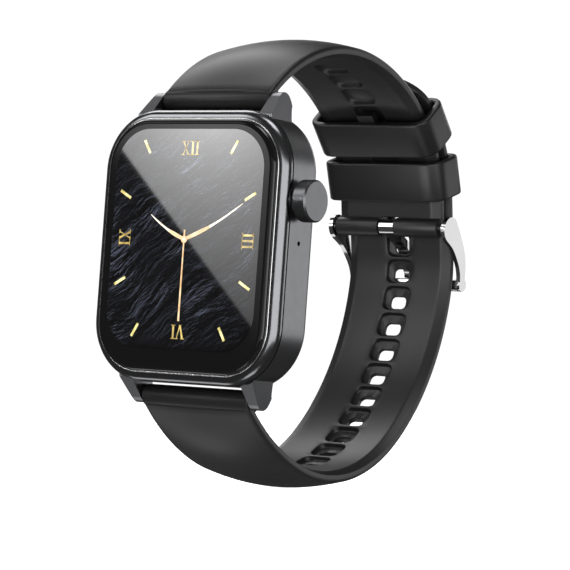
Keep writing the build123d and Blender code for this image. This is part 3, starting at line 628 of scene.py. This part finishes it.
def slot_box():
    """The notch for the buckle's tongue, a rounded box round the bar."""
    points = []
    size = 32
    for x in (-SLOT_HALF, SLOT_HALF):
        for k in range(size):
            turn = 2 * pi * k / size
            u, v = cos(turn), sin(turn)
            scale = 1 / max(abs(u), abs(v))
            y, z = rounded_border(SLOT_DEPTH / 2, SLOT_HEIGHT / 2, 0.6, u * scale, v * scale)
            points.append((x, BAR[0] + y, BAR[1] + z))
    return points, rings_to_faces(2, size)


cut_or_join(upper_strap, *slot_box(), "DIFFERENCE")
bore(upper_strap, *PIVOT, LUG_BORE_RADIUS)
bore(upper_strap, *BAR, BAR_BORE_RADIUS)
finish_strap(upper_strap)
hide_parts("upper_strap")

lower_band = Band(lower_route, -1, LOWER_CROWN, 0.0, lower_route.length, True)
lower_cells = [TONGUE_HOLE + HOLE_PITCH * i for i in range(-HOLES_BELOW, HOLES_ABOVE + 1)]
lower_holes = [(HOLE_WIDTH, HOLE_LENGTH, -HOLE_OFFSET)] * len(lower_cells)
lower_holes[HOLES_BELOW] = (TONGUE_HOLE_WIDTH, TONGUE_HOLE_LENGTH, 0.0)
lower_strap = mesh_piece("lower_strap_rubber", *lower_band.build(lower_cells, lower_holes), rubber,
                         "band", "strap_rubber")
cut_or_join(lower_strap, *barrel(PIVOT[0], -PIVOT[1], LUG_TUBE_RADIUS, BAND_HALF), "UNION")
bore(lower_strap, PIVOT[0], -PIVOT[1], LUG_BORE_RADIUS)
finish_strap(lower_strap)
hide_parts("lower_strap")

# ---------------------------------------------------------------- keepers


def keeper(name, angle, body, node):
    """A moulded rubber loop with rounded rims, square to the shoulder."""
    centre = shifted(shoulder_centre, angle, SHOULDER_RADIUS + KEEPER_DEPTH / 2 - KEEPER_INNER)
    out, step = along(angle), along(angle - 90)
    half_x = BAND_HALF + KEEPER_SIDE_GAP
    half_y = KEEPER_DEPTH / 2
    soft = 0.45
    half_long = KEEPER_LENGTH / 2
    rim = [(half_long - soft + soft * sin(t), soft - soft * cos(t)) for t in (0, 0.4, 0.8, 1.2, pi / 2)]
    outline = [(s, inset) for s, inset in rim] + [(s, KEEPER_WALL - inset) for s, inset in reversed(rim)]
    outline += [(-s, inset) for s, inset in reversed(outline)]
    size = 96
    points = []
    for s, inset in outline:
        wall = KEEPER_WALL - inset
        for k in range(size):
            turn = 2 * pi * k / size
            u, v = cos(turn), sin(turn)
            scale = 1 / max(abs(u), abs(v))
            corner = 0.8 + wall * 1.47
            x, y = rounded_border(half_x + wall, half_y + wall, corner, u * scale, v * scale)
            points.append((x, centre[0] + out[0] * y + step[0] * s, centre[1] + out[1] * y + step[1] * s))
    faces = closed_loop_faces(len(outline), size)
    # The loop takes the darkened silicone, whose darker tone is painted shade.
    piece = mesh_piece(name, points, faces, keeper_rubber, body, "keeper_rubber", angle=50)
    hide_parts(node)
    return piece


keeper("free_keeper_rubber", FREE_KEEPER_ANGLE, "free_keeper", "free_keeper")
keeper("fixed_keeper_rubber", FIXED_KEEPER_ANGLE, "band", "fixed_keeper")


def keeper_tab():
    """The small finger grip that stands on the free keeper's inner wall, before its upper rim."""
    out, step = along(FREE_KEEPER_ANGLE), along(FREE_KEEPER_ANGLE - 90)
    half_x, length, soft = 1.7, 1.7, 0.18
    foot = shifted(shoulder_centre, FREE_KEEPER_ANGLE, SHOULDER_RADIUS - KEEPER_INNER - 0.45)
    rings = [(0.0, 0.0), (length - soft, 0.0), (length - soft * 0.3, soft * 0.3), (length, soft)]
    points = []
    for reach, inset in rings:
        for u, v in ((-1, 0), (1, 0), (1, 1), (-1, 1)):
            x = u * (half_x - inset)
            height = inset + v * (1.45 - 2 * inset)
            along_step = -(KEEPER_LENGTH / 2 - 0.3 + reach)
            points.append((x, foot[0] + out[0] * height + step[0] * along_step,
                           foot[1] + out[1] * height + step[1] * along_step))
    # The tab takes the darkened silicone, whose darker tone is painted shade.
    return mesh_piece("free_keeper_tab", points, rings_to_faces(len(rings), 4), keeper_rubber,
                      "free_keeper", "keeper_rubber", angle=30)


keeper_tab()

# ---------------------------------------------------------------- dial on the display

FACE_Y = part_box("cover_glass")[0].y / MM
DIAL_Z = 1.0
SCREEN_HALF_X, SCREEN_LOW, SCREEN_HIGH, SCREEN_CORNER = 15.2, -17.4, 19.4, 6.5
IMAGE_DEPTH, MARK_DEPTH = 0.012, 0.03


def glass_trim():
    """The fine polished lip of the bezel round the glass."""
    thick, size, steps = 0.11, 10, 16
    half_x, half_z, corner = 17.36, 21.26, 8.31
    path = []
    for sx, sz, start in ((1, 1, 0), (-1, 1, 90), (-1, -1, 180), (1, -1, 270)):
        for k in range(steps + 1):
            turn = radians(start + 90 * k / steps)
            path.append((sx * (half_x - corner), sz * (half_z - corner), cos(turn), sin(turn)))
    points = []
    for cx, cz, nx, nz in path:
        for k in range(size):
            turn = 2 * pi * k / size
            reach = corner + thick * cos(turn)
            points.append((cx + nx * reach, -BEZEL_FRONT + 0.02 + thick * sin(turn), cz + nz * reach))
    faces = closed_loop_faces(len(path), size)
    return mesh_piece("glass_trim", points, faces, trim_metal, "case", "bezel_metal", angle=60)


glass_trim()


RIDGE_TURN, RIDGE_STRETCH, LIGHT_STEP = -34, 0.27, 0.00011
FINE_SCALE, COARSE_SCALE, COARSE_SHARE = 950.0, 330.0, 2.2
PATCH_SCALE, PATCH_GAIN, PATCH_LEVEL, PATCH_FLOOR = 150.0, 7.0, -3.1, 0.12
CREST_GAIN, CREST_POWER, GLINT_LEVEL = 4.2, 1.5, 0.15
SHADE_GAIN, SHADE_LEVEL, DARKEST = 0.056, 0.0022, 0.0006
SLATE_TINT, SLATE_GLOW = (0.84, 0.94, 1.35), 0.7
FADE_X, FADE_Z, FADE_POWER, FADE_GAIN = 65.8, 54.3, 5.0, 2.2


def slate_material():
    """Dark split slate with bluish ridges that rise to the right, black at the picture's border."""
    material, add, link, shader = new_material("slate_dial")
    place = add("ShaderNodeTexCoord").outputs["Object"]

    def math(operation, *values, clamp=False):
        node = add("ShaderNodeMath", operation=operation)
        node.use_clamp = clamp
        for socket, value in zip(node.inputs, values):
            if isinstance(value, (int, float)):
                socket.default_value = value
            else:
                link(value, socket)
        return node.outputs[0]

    def noise(vector, scale, detail, rough):
        node = add("ShaderNodeTexNoise", Scale=scale, Detail=detail, Roughness=rough)
        link(vector, node.inputs["Vector"])
        return node

    def moved(vector, step):
        node = add("ShaderNodeVectorMath", operation="ADD")
        link(vector, node.inputs[0])
        node.inputs[1].default_value = step
        return node.outputs[0]

    wander = noise(place, 75.0, 2.0, 0.5)
    bend = add("ShaderNodeVectorMath", operation="MULTIPLY_ADD")
    bend.inputs[1].default_value = (0.004, 0.0, 0.007)
    link(wander.outputs["Color"], bend.inputs[0])
    link(place, bend.inputs[2])
    turn = add("ShaderNodeMapping", vector_type="TEXTURE")
    turn.inputs["Rotation"].default_value = (0, radians(RIDGE_TURN), 0)
    link(bend.outputs[0], turn.inputs["Vector"])
    layers = add("ShaderNodeMapping")
    layers.inputs["Scale"].default_value = (RIDGE_STRETCH, 1.0, 1.0)
    link(turn.outputs["Vector"], layers.inputs["Vector"])
    flow = layers.outputs["Vector"]
    lit = moved(flow, (0.0, 0.0, -LIGHT_STEP))
    heights = []
    for vector in (flow, lit):
        fine = noise(vector, FINE_SCALE, 7.0, 0.68).outputs["Fac"]
        coarse = noise(vector, COARSE_SCALE, 3.0, 0.5).outputs["Fac"]
        heights.append(math("MULTIPLY_ADD", coarse, COARSE_SHARE, fine))
    relief = math("SUBTRACT", heights[0], heights[1])
    patches = noise(turn.outputs["Vector"], PATCH_SCALE, 3.0, 0.6).outputs["Fac"]
    raised = math("MULTIPLY_ADD", patches, PATCH_GAIN, PATCH_LEVEL)
    strength = math("SMOOTH_MAX", raised, PATCH_FLOOR, 0.3)
    crest = math("POWER", math("MAXIMUM", math("MULTIPLY", relief, CREST_GAIN), 0.0), CREST_POWER)
    glint = math("MULTIPLY", crest, strength)
    shade = math("MULTIPLY_ADD", relief, SHADE_GAIN, SHADE_LEVEL)
    tone = math("MULTIPLY_ADD", glint, GLINT_LEVEL, shade)
    parts = add("ShaderNodeSeparateXYZ")
    link(place, parts.inputs[0])
    beside = math("MULTIPLY", math("MAXIMUM", parts.outputs["X"], 0.0), FADE_X)
    height = math("ABSOLUTE", math("SUBTRACT", parts.outputs["Z"], DIAL_Z * MM))
    edges = math("ADD", math("POWER", beside, FADE_POWER),
                 math("POWER", math("MULTIPLY", height, FADE_Z), FADE_POWER))
    border = math("MULTIPLY", math("SUBTRACT", 1.0, edges), FADE_GAIN, clamp=True)
    faded = math("MULTIPLY", math("MAXIMUM", tone, DARKEST), border)
    colour = add("ShaderNodeVectorMath", operation="SCALE")
    colour.inputs[0].default_value = SLATE_TINT
    link(faded, colour.inputs["Scale"])
    link(colour.outputs[0], shader.inputs["Base Color"])
    link(colour.outputs[0], shader.inputs["Emission Color"])
    shader.inputs["Emission Strength"].default_value = SLATE_GLOW
    shader.inputs["Roughness"].default_value = 0.7
    shader.inputs["Specular IOR Level"].default_value = 0.1
    shader.inputs["Coat Weight"].default_value = 1.0
    shader.inputs["Coat Roughness"].default_value = 0.02
    return material


def gilt(name, low, high, glow):
    """Printed gold of the numerals, marks and hands, under the glass's gloss."""
    material, add, link, shader = new_material(name)
    place = add("ShaderNodeTexCoord").outputs["Object"]
    noise = add("ShaderNodeTexNoise", Scale=700.0, Detail=2.0)
    link(place, noise.inputs["Vector"])
    ramp = add("ShaderNodeValToRGB")
    stops = ramp.color_ramp.elements
    stops[0].position, stops[0].color = 0.38, (*low, 1)
    stops[1].position, stops[1].color = 0.62, (*high, 1)
    link(noise.outputs["Fac"], ramp.inputs["Fac"])
    link(ramp.outputs["Color"], shader.inputs["Base Color"])
    link(ramp.outputs["Color"], shader.inputs["Emission Color"])
    shader.inputs["Emission Strength"].default_value = glow
    shader.inputs["Roughness"].default_value = 0.5
    shader.inputs["Coat Weight"].default_value = 1.0
    shader.inputs["Coat Roughness"].default_value = 0.02
    return material


slate = slate_material()
numeral_gold = gilt("numeral_gold", (0.28, 0.19, 0.035), (0.66, 0.50, 0.15), 0.35)
mark_gold = gilt("mark_gold", (0.42, 0.34, 0.07), (0.90, 0.80, 0.36), 0.40)
hand_gold = gilt("hand_gold", (0.62, 0.37, 0.16), (0.84, 0.60, 0.36), 0.40)
hand_white = gilt("hand_tip", (0.80, 0.70, 0.54), (0.95, 0.90, 0.80), 0.50)


def plate(name, outlines, depth, material, lift=0.0):
    """Flat outlines in dial coordinates, raised a little in front of the glass."""
    points, faces = [], []
    back, front = FACE_Y - lift, FACE_Y - lift - depth
    for outline in outlines:
        start, size = len(points), len(outline)
        points += [(x, back, z) for x, z in outline] + [(x, front, z) for x, z in outline]
        faces.append(tuple(start + k for k in range(size)))
        faces.append(tuple(start + size + k for k in reversed(range(size))))
        faces += [
            (start + k, start + size + k, start + size + (k + 1) % size, start + (k + 1) % size)
            for k in range(size)
        ]
    return mesh_piece(name, points, faces, material, "case", "display", angle=30)


def rounded_outline(half_x, low, high, corner, steps=14):
    """A rounded rectangle, centred across and from a low to a high edge."""
    middle, half_z = (low + high) / 2, (high - low) / 2
    outline = []
    for sx, sz, start in ((1, 1, 0), (-1, 1, 90), (-1, -1, 180), (1, -1, 270)):
        for k in range(steps + 1):
            turn = radians(start + 90 * k / steps)
            outline.append((sx * (half_x - corner) + corner * cos(turn),
                            middle + sz * (half_z - corner) + corner * sin(turn)))
    return outline


picture = rounded_outline(SCREEN_HALF_X, SCREEN_LOW, SCREEN_HIGH, SCREEN_CORNER)
plate("dial_picture", [picture], IMAGE_DEPTH, slate)

STEM, HAIR, SERIF = 0.15, 0.065, 0.045


def stroke(x0, z0, x1, z1, width):
    """A slanted stroke with level ends."""
    half = width / 2
    return [(x0 - half, z0), (x0 + half, z0), (x1 + half, z1), (x1 - half, z1)]


def serif(x, z, width):
    """A thin level bar across the end of a stroke."""
    return [(x - width / 2, z - SERIF / 2), (x + width / 2, z - SERIF / 2),
            (x + width / 2, z + SERIF / 2), (x - width / 2, z + SERIF / 2)]


LETTERS = {
    "I": (0.40, [stroke(0, -0.5, 0, 0.5, STEM), serif(0, 0.475, 0.36), serif(0, -0.475, 0.36)]),
    "V": (0.78, [stroke(-0.26, 0.5, 0.02, -0.5, STEM), stroke(0.27, 0.5, 0.02, -0.5, HAIR),
                 serif(-0.26, 0.475, 0.32), serif(0.27, 0.475, 0.26)]),
    "X": (0.80, [stroke(-0.24, 0.5, 0.24, -0.5, STEM), stroke(0.24, 0.5, -0.24, -0.5, HAIR),
                 serif(-0.24, 0.475, 0.30), serif(0.24, 0.475, 0.28),
                 serif(-0.24, -0.475, 0.28), serif(0.24, -0.475, 0.30)]),
}


def numeral(text, x, z, turn, height):
    """Roman letters set side by side, turned so that their tops point away from the dial's middle."""
    total = sum(LETTERS[letter][0] for letter in text)
    cursor, outlines = -total / 2, []
    c, s = cos(radians(turn)), sin(radians(turn))
    for letter in text:
        advance, strokes = LETTERS[letter]
        for outline in strokes:
            moved = []
            for px, pz in outline:
                px, pz = (px + cursor + advance / 2) * height, pz * height
                moved.append((x + px * c - pz * s, z + px * s + pz * c))
            outlines.append(moved)
        cursor += advance
    return outlines


NUMERAL_HEIGHT = 2.35
NUMERALS = [("XII", 0, 15.2, 0), ("III", 12.95, 0, -90), ("VI", 0, -15.4, 180), ("IX", -12.5, 0, 90)]
numerals = []
for text, x, z, turn in NUMERALS:
    numerals += numeral(text, x, DIAL_Z + z, turn, NUMERAL_HEIGHT)
plate("dial_numerals", numerals, MARK_DEPTH, numeral_gold, IMAGE_DEPTH)


def bar_mark(x, z, length, width):
    """A bar that points to the dial's middle."""
    turn = atan2(z, x)
    c, s = cos(turn), sin(turn)
    half, side = length / 2, width / 2
    corners = [(-half, -side), (half, -side), (half, side), (-half, side)]
    return [(x + a * c - b * s, DIAL_Z + z + a * s + b * c) for a, b in corners]


marks = [
    bar_mark(side_x * x, side_z * z, 2.5, 0.46)
    for x, z in ((9.0, 15.4), (12.9, 7.3))
    for side_x in (-1, 1)
    for side_z in (-1, 1)
]
plate("dial_marks", marks, MARK_DEPTH, mark_gold, IMAGE_DEPTH)


def hand(tip_x, tip_z, widths, sway):
    """A hand's outline from the pivot to its tip, swaying to one side of the straight line."""
    length = hypot(tip_x, tip_z)
    ux, uz = tip_x / length, tip_z / length
    one, two = [], []
    for share, width in widths:
        offset = sway * sin(pi * share)
        cx, cz = ux * length * share - uz * offset, DIAL_Z + uz * length * share + ux * offset
        one.append((cx - uz * width / 2, cz + ux * width / 2))
        two.append((cx + uz * width / 2, cz - ux * width / 2))
    return one + two[::-1]


WIDE = [(0.0, 0.5), (0.08, 0.62), (0.2, 0.66), (0.32, 0.62), (0.42, 0.46)]
FINE = [(0.42, 0.46), (0.5, 0.36), (0.65, 0.30), (0.85, 0.24), (1.0, 0.08)]
HANDS = {"hour": (-7.25, 4.0, -0.35), "minute": (11.5, 6.15, -0.45)}
HAND_LIFT, SECOND_LIFT, PIVOT_LIFT, PIN_LIFT = 0.01, 0.02, 0.025, 0.035
for word, (x, z, sway) in HANDS.items():
    bow = sway if x > 0 else -sway
    plate(f"{word}_hand_base", [hand(x, z, WIDE, bow)], MARK_DEPTH, hand_gold, IMAGE_DEPTH + HAND_LIFT)
    plate(f"{word}_hand_tip", [hand(x, z, FINE, bow)], MARK_DEPTH, hand_white, IMAGE_DEPTH + HAND_LIFT)
SECOND_OUTLINE = [(-0.16, 1.6), (0.16, 1.6), (0.12, -2.0), (0.20, -13.6), (-0.16, -13.6), (-0.14, -2.0)]
second = [(x, DIAL_Z + z) for x, z in SECOND_OUTLINE]
plate("second_hand", [second], MARK_DEPTH, hand_gold, IMAGE_DEPTH + SECOND_LIFT)


def disc_outline(radius, steps=40):
    """A circle round the dial's middle."""
    turns = [2 * pi * k / steps for k in range(steps)]
    return [(radius * cos(turn), DIAL_Z + radius * sin(turn)) for turn in turns]


plate("hand_pivot", [disc_outline(0.62)], MARK_DEPTH, hand_gold, IMAGE_DEPTH + PIVOT_LIFT)
plate("hand_pivot_pin", [disc_outline(0.26)], MARK_DEPTH, hand_white, IMAGE_DEPTH + PIN_LIFT)

# ---------------------------------------------------------------- studio


def stage_piece(name, points, faces, material):
    """A part of the studio, which isn't part of the watch."""
    mesh = bpy.data.meshes.new(name)
    mesh.from_pydata(points, [], faces)
    mesh.materials.append(material)
    piece = bpy.data.objects.new(name, mesh)
    scene.collection.objects.link(piece)
    return piece


def glow_material(name):
    """A material that only glows: (material, its node tree, the emission node)."""
    material = bpy.data.materials.new(name)
    material.use_nodes = True
    tree = material.node_tree
    tree.nodes.clear()
    result = tree.nodes.new("ShaderNodeOutputMaterial")
    glow = tree.nodes.new("ShaderNodeEmission")
    tree.links.new(glow.outputs[0], result.inputs["Surface"])
    return material, tree, glow


def only_mirrored(piece):
    """Lets a light panel show in glossy surfaces and nowhere else."""
    piece.visible_camera = False
    piece.visible_diffuse = False
    piece.visible_shadow = False
    return piece


def floor_material():
    """Pale and even, and as bright as the backdrop."""
    material, _, _, shader = new_material("floor")
    shader.inputs["Base Color"].default_value = (0.9, 0.9, 0.9, 1)
    shader.inputs["Roughness"].default_value = 0.9
    shader.inputs["Emission Color"].default_value = (1, 1, 1, 1)
    shader.inputs["Emission Strength"].default_value = 1.0
    return material


FLOOR_GAP = 0.0004
FLOOR_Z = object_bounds()[0].z - FLOOR_GAP
SPREAD = 40.0
floor_corners = [(x * SPREAD, y * SPREAD, FLOOR_Z) for x, y in ((-1, -1), (1, -1), (1, 1), (-1, 1))]
floor = stage_piece("floor", floor_corners, [(0, 1, 2, 3)], floor_material())
floor.visible_glossy = False
floor.visible_shadow = False

BACKDROP, GLOSS_AMBIENT, DIFFUSE_AMBIENT = 1.05, 0.07, 0.62


def studio_world():
    """White surroundings, of one strength for the camera, one for gloss and one for diffuse light."""
    world = bpy.data.worlds.new("studio")
    scene.world = world
    world.use_nodes = True
    tree = world.node_tree
    tree.nodes.clear()
    output = tree.nodes.new("ShaderNodeOutputWorld")
    seen = tree.nodes.new("ShaderNodeBackground")
    seen.inputs["Color"].default_value = (1, 1, 1, 1)
    seen.inputs["Strength"].default_value = BACKDROP
    path = tree.nodes.new("ShaderNodeLightPath")
    ambient = tree.nodes.new("ShaderNodeBackground")
    ambient.inputs["Color"].default_value = (1, 1, 1, 1)
    level = tree.nodes.new("ShaderNodeMapRange")
    level.inputs["To Min"].default_value = GLOSS_AMBIENT
    level.inputs["To Max"].default_value = DIFFUSE_AMBIENT
    tree.links.new(path.outputs["Is Diffuse Ray"], level.inputs["Value"])
    tree.links.new(level.outputs["Result"], ambient.inputs["Strength"])
    choice = tree.nodes.new("ShaderNodeMixShader")
    tree.links.new(path.outputs["Is Camera Ray"], choice.inputs[0])
    tree.links.new(ambient.outputs[0], choice.inputs[1])
    tree.links.new(seen.outputs[0], choice.inputs[2])
    tree.links.new(choice.outputs[0], output.inputs["Surface"])


studio_world()

MIDDLE = Vector((0, 0.022, 0))


def softbox(name, direction, distance, width, height, radiance):
    """A large soft area light of an even brightness that looks at the watch and isn't seen itself."""
    light = bpy.data.lights.new(name, "AREA")
    light.shape = "RECTANGLE"
    light.size, light.size_y = width, height
    light.energy = radiance * pi * width * height
    holder = bpy.data.objects.new(name, light)
    holder.location = MIDDLE + Vector(direction).normalized() * distance
    holder.rotation_mode = "QUATERNION"
    holder.rotation_quaternion = (MIDDLE - holder.location).to_track_quat("-Z", "Y")
    holder.visible_camera = False
    scene.collection.objects.link(holder)
    return holder


softbox("side_card", (0.62, 0.78, 0.075), 0.7, 0.45, 0.34, 1.30)
softbox("arch_light", (-0.572, 0.34, 0.745), 0.7, 0.29, 0.32, 3.1)
softbox("overhead_light", (0.15, -0.1, 1.0), 0.8, 0.35, 0.35, 3.4)
softbox("front_left_light", (-0.6, -0.58, 0.54), 0.8, 0.32, 0.32, 2.8)
softbox("chin_light", (-0.572, 0.08, -0.81), 0.8, 0.26, 0.26, 1.35)
softbox("under_light", (0.1, -0.35, -0.93), 0.8, 0.3, 0.3, 1.6)
softbox("back_light", (-0.75, 0.65, 0.1), 0.9, 0.5, 0.5, 1.7)
softbox("back_fill", (-0.1, 0.95, 0.35), 0.9, 0.5, 0.3, 2.0)

# A small card of light inside the band, for its inner faces.
inner_light = softbox("inner_light", (0, 1, 0), 0.5, 0.026, 0.026, 3.6)
inner_light.location = (0.0, 0.0075, 0.003)
inner_light.rotation_quaternion = Vector((0, 1, 0.3)).to_track_quat("-Z", "Y")


def arc_screen(name, first, last, radius, low, high, radiance):
    """An unseen glowing screen round the front right side, for the long highlights of the edges."""
    count = 24
    points = []
    for k in range(count + 1):
        turn = radians(first + (last - first) * k / count)
        x, y = MIDDLE.x + radius * sin(turn), MIDDLE.y - radius * cos(turn)
        points += [(x, y, low), (x, y, high)]
    faces = [(2 * k, 2 * k + 1, 2 * k + 3, 2 * k + 2) for k in range(count)]
    material, _, glow = glow_material(name)
    glow.inputs["Strength"].default_value = radiance
    return only_mirrored(stage_piece(name, points, faces, material))


arc_screen("right_screen", 8, 84, 0.9, -0.32, 0.30, 2.1)

# A plain softbox for the flat cover glass to mirror.
WINDOW_DIRECTION, WINDOW_DISTANCE = Vector((-0.59, -0.81, 0.14)), 1.0
WINDOW_WIDTH, WINDOW_HEIGHT, WINDOW_ROLL = 0.34, 0.12, -50
WINDOW_PEAK, WINDOW_FADE = 20.0, 0.05


def window_light():
    """A softbox with a hot centre that fades evenly towards its edges, turned about its own axis."""
    material, tree, glow = glow_material("light_window")
    centre = WINDOW_DIRECTION.normalized() * WINDOW_DISTANCE
    distance = tree.nodes.new("ShaderNodeVectorMath")
    distance.operation = "DISTANCE"
    distance.inputs[1].default_value = centre
    tree.links.new(tree.nodes.new("ShaderNodeTexCoord").outputs["Object"], distance.inputs[0])
    level = distance.outputs["Value"]
    for operation, value in (("MULTIPLY", -1 / WINDOW_FADE), ("EXPONENT", 0.0), ("MULTIPLY", WINDOW_PEAK)):
        step = tree.nodes.new("ShaderNodeMath")
        step.operation = operation
        tree.links.new(level, step.inputs[0])
        step.inputs[1].default_value = value
        level = step.outputs[0]
    tree.links.new(level, glow.inputs["Strength"])
    turn = centre.to_track_quat("Z", "Y").to_matrix() @ Matrix.Rotation(radians(WINDOW_ROLL), 3, "Z")
    corners = [
        centre + turn @ Vector((x * WINDOW_WIDTH / 2, y * WINDOW_HEIGHT / 2, 0))
        for x, y in ((-1, -1), (1, -1), (1, 1), (-1, 1))
    ]
    return only_mirrored(stage_piece("light_window", corners, [(0, 1, 2, 3)], material))


window_light()

# ---------------------------------------------------------------- camera
CAMERA = Vector((0.27465, -0.3747, -0.0246))
BACK = Vector((0.57219, -0.81907, -0.04222))
RIGHT = Vector((0.81978, 0.57270, 0.0))
UP = BACK.cross(RIGHT)
ROLL = radians(4.07)
LENS, SENSOR = 173.7, 36.0
camera_data = bpy.data.cameras.new("camera")
camera_data.lens = LENS
camera_data.sensor_width = SENSOR
camera_data.clip_start, camera_data.clip_end = 0.01, 200.0
camera = bpy.data.objects.new("camera", camera_data)
scene.collection.objects.link(camera)
right = (RIGHT * cos(ROLL) + UP * sin(ROLL)).normalized()
up = (UP * cos(ROLL) - RIGHT * sin(ROLL)).normalized()
back = right.cross(up)
camera.matrix_world = Matrix.Translation(CAMERA) @ Matrix((right, up, back)).transposed().to_4x4()
scene.camera = camera
scene.view_settings.view_transform = "Standard"
